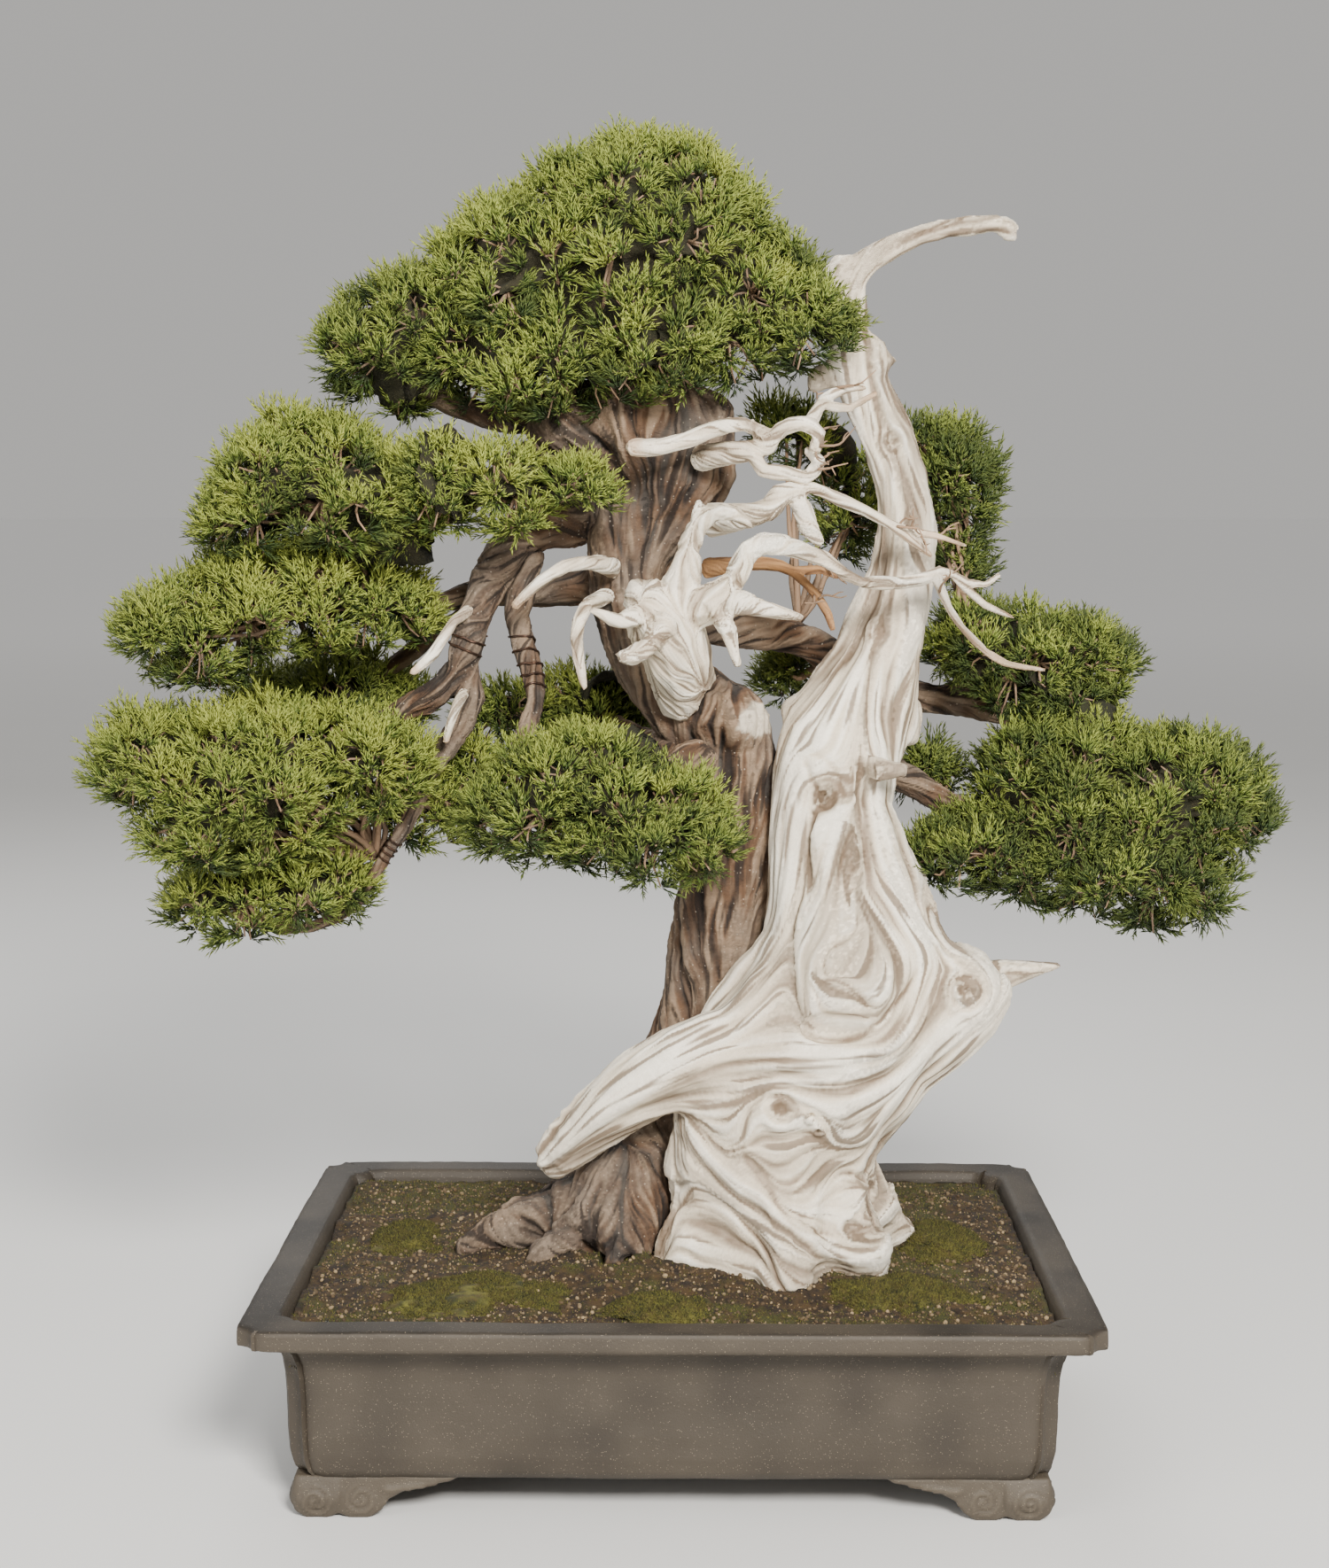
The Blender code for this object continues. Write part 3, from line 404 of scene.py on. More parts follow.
class Sheet:
    """A short way to write a shader's nodes."""

    def __init__(self, tree: NodeTree) -> None:
        """Starts on a node tree."""
        self.tree = tree

    def put(self, kind: str, settings: dict[str, object] | None = None, **inputs: object) -> Node:
        """Adds a node.

        Args:
            kind: The node's type.
            settings: Properties of the node itself.
            inputs: Values or sockets for its inputs, with _ for a space, or the input's number after "i".

        Returns:
            The node.
        """
        node = self.tree.nodes.new(kind)
        for key, value in (settings or {}).items():
            setattr(node, key, value)
        for key, value in inputs.items():
            named = key[1:].isdigit() and key[0] == "i"
            socket = node.inputs[int(key[1:])] if named else node.inputs[key.replace("_", " ")]
            if isinstance(value, NodeSocket):
                self.tree.links.new(value, socket)
            elif isinstance(value, tuple) and len(value) == 3 and socket.type == "RGBA":
                socket.default_value = (*value, 1.0)
            else:
                socket.default_value = value
        return node

    def mix(self, factor: object, first: object, second: object) -> NodeSocket:
        """Mixes two colours and returns the result."""
        return self.put("ShaderNodeMix", {"data_type": "RGBA"}, i0=factor, i6=first, i7=second).outputs[2]

    def math(self, operation: str, first: object, second: object = 0.0) -> NodeSocket:
        """Works out one number."""
        return self.put("ShaderNodeMath", {"operation": operation}, i0=first, i1=second).outputs[0]

    def group(self, tree: NodeTree, **inputs: object) -> bpy.types.NodeOutputs:
        """Adds a node group and returns its outputs."""
        return self.put("ShaderNodeGroup", {"node_tree": tree}, **inputs).outputs

    def attribute(self, name: str, output: str = "Fac") -> NodeSocket:
        """Reads what a mesh was painted with."""
        return self.put("ShaderNodeAttribute", {"attribute_name": name}).outputs[output]

    def steps(self, factor: object, low: float, high: float) -> NodeSocket:
        """Eases a number from 0 at low to 1 at high."""
        return self.put("ShaderNodeMapRange", {"interpolation_type": "SMOOTHSTEP"}, Value=factor,
                        From_Min=low, From_Max=high).outputs[0]


def new_group(name: str, inputs: dict[str, str], outputs: dict[str, str]) -> tuple[NodeTree, Sheet]:
    """Starts a shader node group.

    Args:
        name: The group's name.
        inputs: Socket names and types.
        outputs: Socket names and types.

    Returns:
        The group and a sheet to fill it with.
    """
    tree = bpy.data.node_groups.new(name, "ShaderNodeTree")
    for key, kind in inputs.items():
        tree.interface.new_socket(key, in_out="INPUT", socket_type=kind)
    for key, kind in outputs.items():
        tree.interface.new_socket(key, in_out="OUTPUT", socket_type=kind)
    return tree, Sheet(tree)


def fibre_group() -> NodeTree:
    """Fine fibres that run with the grain: reads grain coordinates, gives a mask and a height.

    Returns:
        The group.
    """
    tree, sheet = new_group("fibres", {"Grain": "NodeSocketVector", "Fibre Scale": "NodeSocketFloat"},
                            {"Mask": "NodeSocketFloat", "Height": "NodeSocketFloat"})
    given = sheet.put("NodeGroupInput")
    wide = sheet.put("ShaderNodeTexNoise", Vector=given.outputs[0], Scale=given.outputs[1], Detail=3.0,
                     Roughness=0.6)
    finer = sheet.math("MULTIPLY", given.outputs[1], 3.1)
    fine = sheet.put("ShaderNodeTexNoise", Vector=given.outputs[0], Scale=finer, Detail=2.0, Roughness=0.55)
    both = sheet.math("ADD", sheet.math("MULTIPLY", wide.outputs[0], 0.62),
                      sheet.math("MULTIPLY", fine.outputs[0], 0.38))
    mask = sheet.steps(both, 0.40, 0.60)
    given_out = sheet.put("NodeGroupOutput")
    tree.links.new(mask, given_out.inputs[0])
    tree.links.new(both, given_out.inputs[1])
    return tree


def speck_group() -> NodeTree:
    """Small specks and slow blotches in space: gives a mask of each and a height.

    Returns:
        The group.
    """
    tree, sheet = new_group("specks", {"Speck Scale": "NodeSocketFloat", "Blotch Scale": "NodeSocketFloat",
                                       "Amount": "NodeSocketFloat"},
                            {"Specks": "NodeSocketFloat", "Blotches": "NodeSocketFloat",
                             "Height": "NodeSocketFloat"})
    given = sheet.put("NodeGroupInput")
    place = sheet.put("ShaderNodeTexCoord").outputs["Object"]
    cells = sheet.put("ShaderNodeTexVoronoi", Vector=place, Scale=given.outputs[0])
    chance = sheet.put("ShaderNodeSeparateColor", Color=cells.outputs["Color"]).outputs[0]
    near = sheet.math("SUBTRACT", 1.0, sheet.steps(cells.outputs["Distance"], 0.12, 0.36))
    rare = sheet.math("LESS_THAN", chance, given.outputs[2])
    blotch = sheet.put("ShaderNodeTexNoise", Vector=place, Scale=given.outputs[1], Detail=5.0, Roughness=0.6)
    grit = sheet.put("ShaderNodeTexNoise", Vector=place, Scale=sheet.math("MULTIPLY", given.outputs[0], 0.8),
                     Detail=3.0, Roughness=0.65)
    end = sheet.put("NodeGroupOutput")
    tree.links.new(sheet.math("MULTIPLY", near, rare), end.inputs[0])
    tree.links.new(sheet.steps(blotch.outputs[0], 0.36, 0.64), end.inputs[1])
    tree.links.new(grit.outputs[0], end.inputs[2])
    return tree


def carved_group(specks: NodeTree) -> NodeTree:
    """Colours carved wood by the painted shade in its grooves, and by its streaks, stains, flecks, ends and
    scars.

    Args:
        specks: The group of specks and blotches.

    Returns:
        The group.
    """
    colours = ("Ridge", "Face", "Groove", "Stain", "Fleck", "Tip")
    shares = ("Stain Share", "Streak Share", "Fleck Share", "Fibres")
    tree, sheet = new_group("carved_wood", {name: "NodeSocketColor" for name in colours}
                            | {name: "NodeSocketFloat" for name in shares}, {"Colour": "NodeSocketColor"})
    given = sheet.put("NodeGroupInput").outputs
    spots = sheet.group(specks, Speck_Scale=420.0, Blotch_Scale=16.0, Amount=0.12)
    hollow, streak = sheet.attribute("groove"), sheet.attribute("streak")
    # Painted shade: the groove value darkens the wood from the ridge colour through the face colour to the
    # groove colour.
    colour = sheet.mix(sheet.steps(hollow, 0.20, 0.50), given["Ridge"], given["Face"])
    colour = sheet.mix(sheet.steps(hollow, 0.44, 0.86), colour, given["Groove"])
    for mask, share, over in ((spots["Blotches"], given["Stain Share"], given["Stain"]),
                              (sheet.steps(streak, 0.58, 0.98), given["Streak Share"], given["Groove"]),
                              (given["Fibres"], 0.16, given["Groove"]),
                              (spots["Specks"], given["Fleck Share"], given["Fleck"])):
        colour = sheet.mix(sheet.math("MULTIPLY", mask, share), colour, over)
    colour = sheet.mix(sheet.attribute("end"), colour, given["Tip"])
    colour = sheet.mix(sheet.attribute("scar"), colour, BARE_SCAR)
    sheet.put("NodeGroupOutput", Colour=colour)
    return tree


def earth_group(specks: NodeTree) -> NodeTree:
    """Colours clay, soil, grit and moss by their blotches, painted tone and specks.

    Args:
        specks: The group of specks and blotches.

    Returns:
        The group.
    """
    scales = ("Speck Scale", "Blotch Scale", "Amount")
    colours = ("Base", "Blotch", "Accent", "Speck")
    tree, sheet = new_group("earth", {name: "NodeSocketColor" for name in colours}
                            | {name: "NodeSocketFloat" for name in scales},
                            {"Colour": "NodeSocketColor", "Height": "NodeSocketFloat"})
    given = sheet.put("NodeGroupInput").outputs
    spots = sheet.group(specks, **{name.replace(" ", "_"): given[name] for name in scales})
    colour = sheet.mix(spots["Blotches"], given["Base"], given["Blotch"])
    colour = sheet.mix(sheet.attribute("tone"), colour, given["Accent"])
    colour = sheet.mix(spots["Specks"], colour, given["Speck"])
    sheet.put("NodeGroupOutput", Colour=colour, Height=spots["Height"])
    return tree


@dataclass(frozen=True)
class Groups:
    """The node groups that several finishes share.

    Attributes:
        fibres: Fine fibres along the grain.
        specks: Specks and blotches in space.
        carved: The colouring of carved wood.
        earth: The colouring of clay, soil, grit and moss.
    """

    fibres: NodeTree
    specks: NodeTree
    carved: NodeTree
    earth: NodeTree


def new_material(name: str, roughness: float, metallic: float = 0.0,
                 coat: float = 0.0) -> tuple[Material, Node, Sheet]:
    """Starts a material with a Principled shader.

    Args:
        name: The material's name.
        roughness: The shader's roughness.
        metallic: The shader's metallic value.
        coat: The shader's coat weight.

    Returns:
        The material, its shader node and a sheet to add to it with.
    """
    material = bpy.data.materials.new(name)
    material.use_nodes = True
    shader = material.node_tree.nodes["Principled BSDF"]
    shader.inputs["Roughness"].default_value = roughness
    shader.inputs["Metallic"].default_value = metallic
    shader.inputs["Coat Weight"].default_value = coat
    return material, shader, Sheet(material.node_tree)


def bump(sheet: Sheet, shader: Node, height: object, depth: float) -> None:
    """Raises a shader's surface by a height, depth metres at most."""
    node = sheet.put("ShaderNodeBump", Strength=1.0, Distance=depth, Height=height)
    sheet.tree.links.new(node.outputs[0], shader.inputs["Normal"])


@dataclass(frozen=True)
class WoodFinish:
    """Bare or bark-covered wood, coloured by its carved grooves and fibres.

    Attributes:
        name: The material's name.
        ridge: Colour on the ridges.
        face: Colour between ridge and groove.
        groove: Colour deep in the grooves: painted shade.
        stain: Colour of the slow patches.
        stain_share: How strongly the patches show.
        fibre_scale: Fibres to the metre of grain.
        fibre_share: How strongly the fibres show.
        fibre_depth: How deep the fibres are, in metres.
        roughness: Roughness of the surface.
        tip: Colour of stained ends.
        fleck: Colour of the flecks.
        fleck_share: How strongly the flecks show.
    """

    name: str
    ridge: Colour
    face: Colour
    groove: Colour
    stain: Colour
    stain_share: float
    fibre_scale: float
    fibre_share: float
    fibre_depth: float
    roughness: float
    tip: Colour = (0.45, 0.22, 0.07)
    fleck: Colour = (0.45, 0.38, 0.30)
    fleck_share: float = 0.0

    def build(self, groups: Groups) -> Material:
        """Makes the material.

        Args:
            groups: The shared node groups.

        Returns:
            The material.
        """
        material, shader, sheet = new_material(self.name, self.roughness)
        fibres = sheet.group(groups.fibres, Grain=sheet.attribute("grain", "Vector"),
                             Fibre_Scale=self.fibre_scale)
        wood = sheet.group(groups.carved, Ridge=self.ridge, Face=self.face, Groove=self.groove,
                           Stain=self.stain, Stain_Share=self.stain_share, Tip=self.tip,
                           Streak_Share=self.fibre_share, Fleck=self.fleck, Fleck_Share=self.fleck_share,
                           Fibres=fibres["Mask"])
        sheet.tree.links.new(wood["Colour"], shader.inputs["Base Color"])
        height = sheet.math("SUBTRACT", sheet.math("MULTIPLY", fibres["Height"], 0.6),
                            sheet.math("MULTIPLY", sheet.attribute("streak"), 0.6))
        bump(sheet, shader, height, self.fibre_depth)
        return material


@dataclass(frozen=True)
class EarthFinish:
    """Clay, soil, grit and moss: blotches, specks and grain.

    Attributes:
        name: The material's name.
        base: Main colour.
        blotch: Colour of the slow patches.
        speck: Colour of the specks.
        speck_scale: Specks to the metre.
        blotch_scale: Patches to the metre.
        amount: Share of the cells that hold a speck.
        grit_depth: Depth of the grain, in metres.
        roughness: Roughness of the surface.
        accent: Colour that a piece takes where its painted tone is 1.
    """

    name: str
    base: Colour
    blotch: Colour
    speck: Colour
    speck_scale: float
    blotch_scale: float
    amount: float
    grit_depth: float
    roughness: float
    accent: Colour

    def build(self, groups: Groups) -> Material:
        """Makes the material.

        Args:
            groups: The shared node groups.

        Returns:
            The material.
        """
        material, shader, sheet = new_material(self.name, self.roughness)
        earth = sheet.group(groups.earth, Base=self.base, Blotch=self.blotch, Speck=self.speck,
                            Accent=self.accent, Speck_Scale=self.speck_scale,
                            Blotch_Scale=self.blotch_scale, Amount=self.amount)
        sheet.tree.links.new(earth["Colour"], shader.inputs["Base Color"])
        bump(sheet, shader, earth["Height"], self.grit_depth)
        return material


@dataclass(frozen=True)
class LeafFinish:
    """Juniper shoots: dark and woody at the foot, light and yellow-green at the tip.

    Attributes:
        name: The material's name.
        foot: Colour at the foot of a shoot.
        middle: Colour half-way up.
        tip: Colour at the tip.
        shade: Colour of painted shade, which low tones lean to.
        sun: Colour of painted light, which high tones lean to.
    """

    name: str = "juniper_shoots"
    foot: Colour = (0.034, 0.024, 0.008)
    middle: Colour = (0.066, 0.112, 0.016)
    tip: Colour = (0.300, 0.345, 0.060)
    shade: Colour = (0.012, 0.028, 0.007)
    sun: Colour = (0.385, 0.415, 0.064)

    def build(self, groups: Groups) -> Material:
        """Makes the material, which needs none of the groups.

        Args:
            groups: The shared node groups; not used.

        Returns:
            The material.
        """
        material, shader, sheet = new_material(self.name, 0.62)
        along = sheet.attribute("along")
        tone = sheet.attribute("tone")
        colour = sheet.mix(sheet.steps(along, 0.02, 0.35), self.foot, self.middle)
        colour = sheet.mix(sheet.steps(along, 0.35, 1.0), colour, self.tip)
        # The tone is partly random, partly painted light and shade: high tones lean to the sun colour, low
        # tones to the shade colour.
        colour = sheet.mix(sheet.math("MULTIPLY", sheet.steps(tone, 0.5, 1.0), 0.45), colour, self.sun)
        dark = sheet.math("MULTIPLY", sheet.steps(tone, 0.5, 0.0), 0.75)
        colour = sheet.mix(dark, colour, self.shade)
        sheet.tree.links.new(colour, shader.inputs["Base Color"])
        shader.inputs["Specular IOR Level"].default_value = 0.35
        return material


@dataclass(frozen=True)
class WireFinish:
    """Dark annealed copper with duller patches.

    Attributes:
        name: The material's name.
    """

    name: str = "annealed_copper"

    def build(self, groups: Groups) -> Material:
        """Makes the material.

        Args:
            groups: The shared node groups.

        Returns:
            The material.
        """
        material, shader, sheet = new_material(self.name, 0.42, metallic=0.85)
        specks = sheet.group(groups.specks, Speck_Scale=900.0, Blotch_Scale=120.0, Amount=0.2)
        colour = sheet.mix(specks["Blotches"], (0.055, 0.034, 0.026), (0.110, 0.060, 0.040))
        sheet.tree.links.new(colour, shader.inputs["Base Color"])
        bump(sheet, shader, specks["Height"], 0.0001)
        return material


DEADWOOD = WoodFinish("bleached_wood", (0.97, 0.91, 0.77), (0.74, 0.64, 0.49), (0.17, 0.115, 0.070),
                      (0.70, 0.59, 0.46), 0.40, 420.0, 0.85, 0.0011, 0.70)
BARK = WoodFinish("juniper_bark", (0.270, 0.185, 0.118), (0.120, 0.062, 0.030), (0.011, 0.006, 0.004),
                  (0.160, 0.140, 0.118), 0.50, 380.0, 0.85, 0.0024, 0.88, fleck_share=0.55)
DRY_TWIG = WoodFinish("dry_twig", (0.40, 0.21, 0.08), (0.27, 0.13, 0.045), (0.10, 0.045, 0.02),
                      (0.30, 0.18, 0.10), 0.35, 420.0, 0.5, 0.0005, 0.8)
# The clay's accent colour is the pot's painted shade.
CLAY = EarthFinish("unglazed_clay", (0.070, 0.055, 0.038), (0.084, 0.067, 0.047), (0.22, 0.18, 0.13),
                   950.0, 14.0, 0.13, 0.00035, 0.62, accent=(0.013, 0.009, 0.005))
SOIL = EarthFinish("soil", (0.013, 0.007, 0.003), (0.048, 0.027, 0.008), (0.20, 0.13, 0.055),
                   430.0, 110.0, 0.12, 0.0024, 0.95, accent=(0.036, 0.037, 0.006))
MOSS = EarthFinish("moss", (0.018, 0.021, 0.004), (0.055, 0.040, 0.009), (0.17, 0.14, 0.04),
                   520.0, 110.0, 0.16, 0.0016, 0.95, accent=(0.125, 0.118, 0.018))
GRIT = EarthFinish("grit", (0.034, 0.020, 0.009), (0.085, 0.052, 0.022), (0.30, 0.22, 0.13),
                   900.0, 60.0, 0.10, 0.0003, 0.85, accent=(0.29, 0.21, 0.115))
# The pads' dark inside: partly old shoots, partly painted shade.
LEAF_INSIDE = EarthFinish("old_shoots_and_painted_shade", (0.012, 0.016, 0.005), (0.022, 0.026, 0.008), (0.06, 0.05, 0.02),
                          420.0, 90.0, 0.35, 0.004, 0.95, accent=(0.030, 0.022, 0.010))
TWIG = EarthFinish("twig_bark", (0.210, 0.140, 0.088), (0.120, 0.082, 0.056), (0.34, 0.25, 0.17),
                   700.0, 60.0, 0.2, 0.0004, 0.85, accent=(0.34, 0.215, 0.130))
MESH_PLASTIC = EarthFinish("screen_plastic", (0.02, 0.02, 0.02), (0.03, 0.03, 0.03), (0.10, 0.09, 0.08),
                           900.0, 60.0, 0.1, 0.0001, 0.5, (0.02, 0.02, 0.02))


# Wood

class Growth(Enum):
    """How the grain of a limb is set out."""

    FROM_FOOT = "from_foot"
    BETWEEN_ENDS = "between_ends"


@dataclass(frozen=True)
class Knot:
    """A knot that the grain bends round, placed by shares of its node's box.

    Attributes:
        across: Place along the box's X side, 0 to 1.
        height: Place along the box's Z side, 0 to 1.
        radius: Radius in metres.
        dish: How deep its middle is sunk, in metres; negative raises it.
        rings: Depth of the rings round it, in metres.
    """

    across: float
    height: float
    radius: float
    dish: float = 0.002
    rings: float = 0.0006


@dataclass(frozen=True)
class Guide:
    """A line that the grain follows on the front of the wood.

    Attributes:
        line: Points on it, as shares of the node's box, across and up.
        reach: How far to each side it turns the grain, in metres.
        crease: Depth of the groove along it, in metres; negative for a ridge.
        width: Half the groove's width, in metres.
        dark: How much painted shade the groove gets, 0 to 1.
    """

    line: tuple[tuple[float, float], ...]
    reach: float = 0.022
    crease: float = 0.0
    width: float = 0.003
    dark: float = 0.0


@dataclass(frozen=True)
class Carving:
    """One size of groove.

    Attributes:
        width: Distance between grooves, in metres.
        depth: Their depth, in metres.
        length: Their length, in metres.
    """

    width: float
    depth: float
    length: float


@dataclass(frozen=True)
class Stub:
    """A short broken branch that joins a limb.

    Attributes:
        across: Place along the box's X side, 0 to 1.
        height: Place along the box's Z side, 0 to 1.
        heading: Which way it points.
        length: Its length in metres.
        radii: Its radius at its foot and its end.
    """

    across: float
    height: float
    heading: tuple[float, float, float]
    length: float
    radii: tuple[float, float]


def on_box(points: Array, across: float, height: float) -> tuple[float, float]:
    """The x and z of a place given as shares of the box round some points."""
    low, high = span(points)
    return low[0] + across * (high[0] - low[0]), low[2] + height * (high[2] - low[2])


@dataclass
class Limb:
    """One woody node, remeshed and carved along its grain.

    Attributes:
        node: The node of the frame that it stands for.
        slot: Its material slot.
        voxel: The size of its faces, in metres.
        relax: Rounds of smoothing before it is carved.
        carvings: The grooves cut in it.
        knots: Its knots.
        growth: How its grain is set out.
        seed: Its own random field.
        scars: Bare scars as (place across, height, radius): shares of its box, and metres.
        guides: Lines that its grain follows.
        shading: How much painted shade each size of groove gets.
        tip_stain: How strongly its far end is stained.
        ragged: How rough its low outer edge is, in metres; it also sets how dark the painted shade under its
            arm is.
        flaky: How flaky its bark is, in metres.
        stubs: Broken branches that join it.
    """

    node: str
    slot: str
    voxel: float
    relax: int
    carvings: tuple[Carving, ...]
    knots: tuple[Knot, ...] = ()
    growth: Growth = Growth.FROM_FOOT
    seed: int = 0
    scars: tuple[tuple[float, float, float], ...] = ()
    guides: tuple[Guide, ...] = ()
    shading: tuple[float, ...] = (0.45, 0.35, 0.30)
    tip_stain: float = 0.0
    ragged: float = 0.0
    flaky: float = 0.0
    stubs: tuple[Stub, ...] = ()

    def coarse_levels(self, points: Array, edges: Array) -> Array:
        """How far along the limb each vertex of the plain node lies.

        Args:
            points: The node's vertices.
            edges: The node's edges.

        Returns:
            One number for each vertex, 0 at the foot.
        """
        low, high = span(points)
        if self.growth is Growth.BETWEEN_ENDS:
            return self.balanced_levels(points, edges, low, high)
        foot = self.foot(points)
        near = [[] for _ in points]
        lengths = np.linalg.norm(points[edges[:, 0]] - points[edges[:, 1]], axis=1)
        for (a, b), length in zip(edges, lengths):
            near[a].append((b, length))
            near[b].append((a, length))
        levels = np.full(len(points), np.inf)
        queue = [(0.0, int(i)) for i in foot]
        levels[foot] = 0.0
        while queue:
            level, i = heapq.heappop(queue)
            if level > levels[i]:
                continue
            for j, length in near[i]:
                if level + length < levels[j]:
                    levels[j] = level + length
                    heapq.heappush(queue, (level + length, int(j)))
        return np.where(np.isfinite(levels), levels, 0.0)

    def foot(self, points: Array) -> Array:
        """The vertices where the limb starts: those nearest the rest of the tree.

        Args:
            points: Vertices, n by 3.

        Returns:
            The numbers of the vertices.
        """
        if self.node == "trunk_live":
            return np.nonzero(points[:, 2] < points[:, 2].min() + 0.03)[0]
        trunk = read_points(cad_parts["trunk_live"].data)
        gaps = np.array([np.min(np.sum((trunk - point) ** 2, axis=1)) for point in points])
        return np.argsort(gaps)[:4]

    def balanced_levels(self, points: Array, edges: Array, low: Array,
                        high: Array) -> Array:
        """Levels that run evenly from the foot and the arm's end to the upper ends.

        Args:
            points: The node's vertices.
            edges: The node's edges.
            low: The lowest corner of its box.
            high: The highest corner of its box.

        Returns:
            One number for each vertex, 0 to 1.
        """
        size = high - low
        share = (points - low) / size
        starts = (share[:, 2] < 0.10) | (share[:, 0] < 0.06)
        ends = (share[:, 2] > 0.965) | ((share[:, 0] > 0.86) & (share[:, 2] < 0.5))
        matrix = np.zeros((len(points), len(points)))
        np.add.at(matrix, (edges[:, 0], edges[:, 1]), -1.0)
        np.add.at(matrix, (edges[:, 1], edges[:, 0]), -1.0)
        matrix[np.arange(len(points)), np.arange(len(points))] = -matrix.sum(axis=1)
        fixed = starts | ends
        matrix[fixed] = 0.0
        matrix[fixed, fixed] = 1.0
        values = np.where(ends, np.where(share[:, 2] > 0.5, 1.35, 1.0), 0.0)
        base = share[:, 2] < 0.10
        values[base] = 0.25 + 0.5 * share[base, 0]
        return np.linalg.solve(matrix, np.where(fixed, values, 0.0))

    def transfer(self, coarse: Array, levels: Array, fine: Array) -> Array:
        """Carries numbers from the plain node's vertices to the fine ones.

        Args:
            coarse: The plain node's vertices.
            levels: Their numbers.
            fine: The fine vertices.

        Returns:
            A number for each fine vertex.
        """
        result = np.empty(len(fine))
        squares = np.sum(coarse**2, axis=1)
        for start in range(0, len(fine), 8000):
            part = fine[start:start + 8000]
            gaps = squares - 2 * part @ coarse.T + np.sum(part**2, axis=1)[:, None]
            nearest = np.argpartition(gaps, 5, axis=1)[:, :5]
            weights = 1.0 / (np.take_along_axis(gaps, nearest, axis=1) + 1e-6)
            result[start:start + 8000] = np.sum(weights * levels[nearest], axis=1) / weights.sum(axis=1)
        return result

    def flow(self, points: Array, normals: Array, edges: Array,
             levels: Array) -> Array:
        """The direction of the grain at each fine vertex.

        Args:
            points: Vertices.
            normals: Their normals.
            edges: Edges.
            levels: How far along the limb each vertex lies.

        Returns:
            Unit vectors that lie in the surface, n by 3.
        """
        a, b = edges.T
        count = len(points)
        share = np.bincount(a, minlength=count) + np.bincount(b, minlength=count)
        for _ in range(25):
            levels = 0.4 * levels + 0.6 * beside(levels, a, b) / np.maximum(share, 1)
        step = points[b] - points[a]
        slope = (levels[b] - levels[a]) / np.maximum(np.sum(step**2, axis=1), 1e-12)
        grain = np.stack([np.bincount(a, rise, count) + np.bincount(b, rise, count)
                          for rise in (slope[:, None] * step).T], axis=1)
        for _ in range(20):
            grain = in_surface(grain, normals)
            grain = np.stack([one + 0.5 * beside(one, a, b) for one in grain.T], axis=1)
        return in_surface(grain, normals)

    def follow_guides(self, points: Array, normals: Array,
                      grain: Array) -> tuple[Array, Array, Array]:
        """Turns the grain along the guides on the front of the wood.

        Args:
            points: Vertices.
            normals: Their normals.
            grain: The grain's direction at each.

        Returns:
            The new directions, and the depth and the painted shade of the creases.
        """
        low, high = span(points)
        total = np.zeros_like(points)
        weight = np.zeros(len(points))
        depth, dark = np.zeros(len(points)), np.zeros(len(points))
        front = ramp(-normals[:, 1], -0.25, 0.25)
        for guide in self.guides:
            share = np.array(guide.line)
            flat = np.column_stack([low[0] + share[:, 0] * (high[0] - low[0]), np.zeros(len(share)),
                                    low[2] + share[:, 1] * (high[2] - low[2])])
            line = smooth_line(flat, 12 * len(flat))
            ahead = unit(np.gradient(line, axis=0))
            gaps = np.hypot(points[:, None, 0] - line[None, :, 0], points[:, None, 2] - line[None, :, 2])
            nearest = gaps.argmin(axis=1)
            gap = gaps[np.arange(len(points)), nearest]
            pull = np.exp(-(gap / guide.reach) ** 2) * front
            total += ahead[nearest] * (pull**2)[:, None]
            weight = np.maximum(weight, pull)
            ends = np.minimum(nearest, len(line) - 1 - nearest) / (0.18 * len(line))
            groove = np.exp(-(gap / guide.width) ** 2) * front * np.clip(ends, 0, 1)
            depth += guide.crease * groove
            # Painted shade along each crease.
            dark += guide.dark * np.exp(-(gap / (0.6 * guide.width)) ** 2) * front * np.clip(ends, 0, 1)
        share = np.clip(1.15 * weight, 0, 1)[:, None]
        grain = grain * (1 - share) + unit(total) * share
        return in_surface(grain, normals), depth, dark

    @staticmethod
    def give(mesh: Mesh, points: Array, normals: Array, full: float) -> Array:
        """How deep the wood may be carved at each vertex, as a share: less where it is thin.

        Args:
            mesh: The wood.
            points: Its vertices.
            normals: Their normals.
            full: Thickness from which it may be carved in full.

        Returns:
            One share for each vertex, 0.15 to 1.
        """
        tree = bvh_of(mesh)
        thick = np.full(len(points), full)
        for i in range(0, len(points), 3):
            start = Vector(points[i] - normals[i] * 0.0006)
            reach = tree.ray_cast(start, Vector(-normals[i]), full)[3]
            if reach is not None:
                thick[i:i + 3] = reach
        a, b = read_edges(mesh).T
        share = np.bincount(a, minlength=len(points)) + np.bincount(b, minlength=len(points))
        for _ in range(12):
            thick = 0.3 * thick + 0.7 * beside(thick, a, b) / np.maximum(share, 1)
        return np.clip(thick / full, 0.15, 1.0)

    def knot_centres(self, points: Array) -> list[Array]:
        """Where the knots sit on the front of the wood.

        Args:
            points: Vertices, n by 3.

        Returns:
            The places.
        """
        centres = []
        for knot in self.knots:
            x, z = on_box(points, knot.across, knot.height)
            gap = (points[:, 0] - x) ** 2 + (points[:, 2] - z) ** 2
            near = np.nonzero(gap < (knot.radius * 0.8) ** 2 + 4e-6)[0]
            if len(near) == 0:
                near = np.argsort(gap)[:8]
            centres.append(points[near[np.argmin(points[near, 1])]])
        return centres

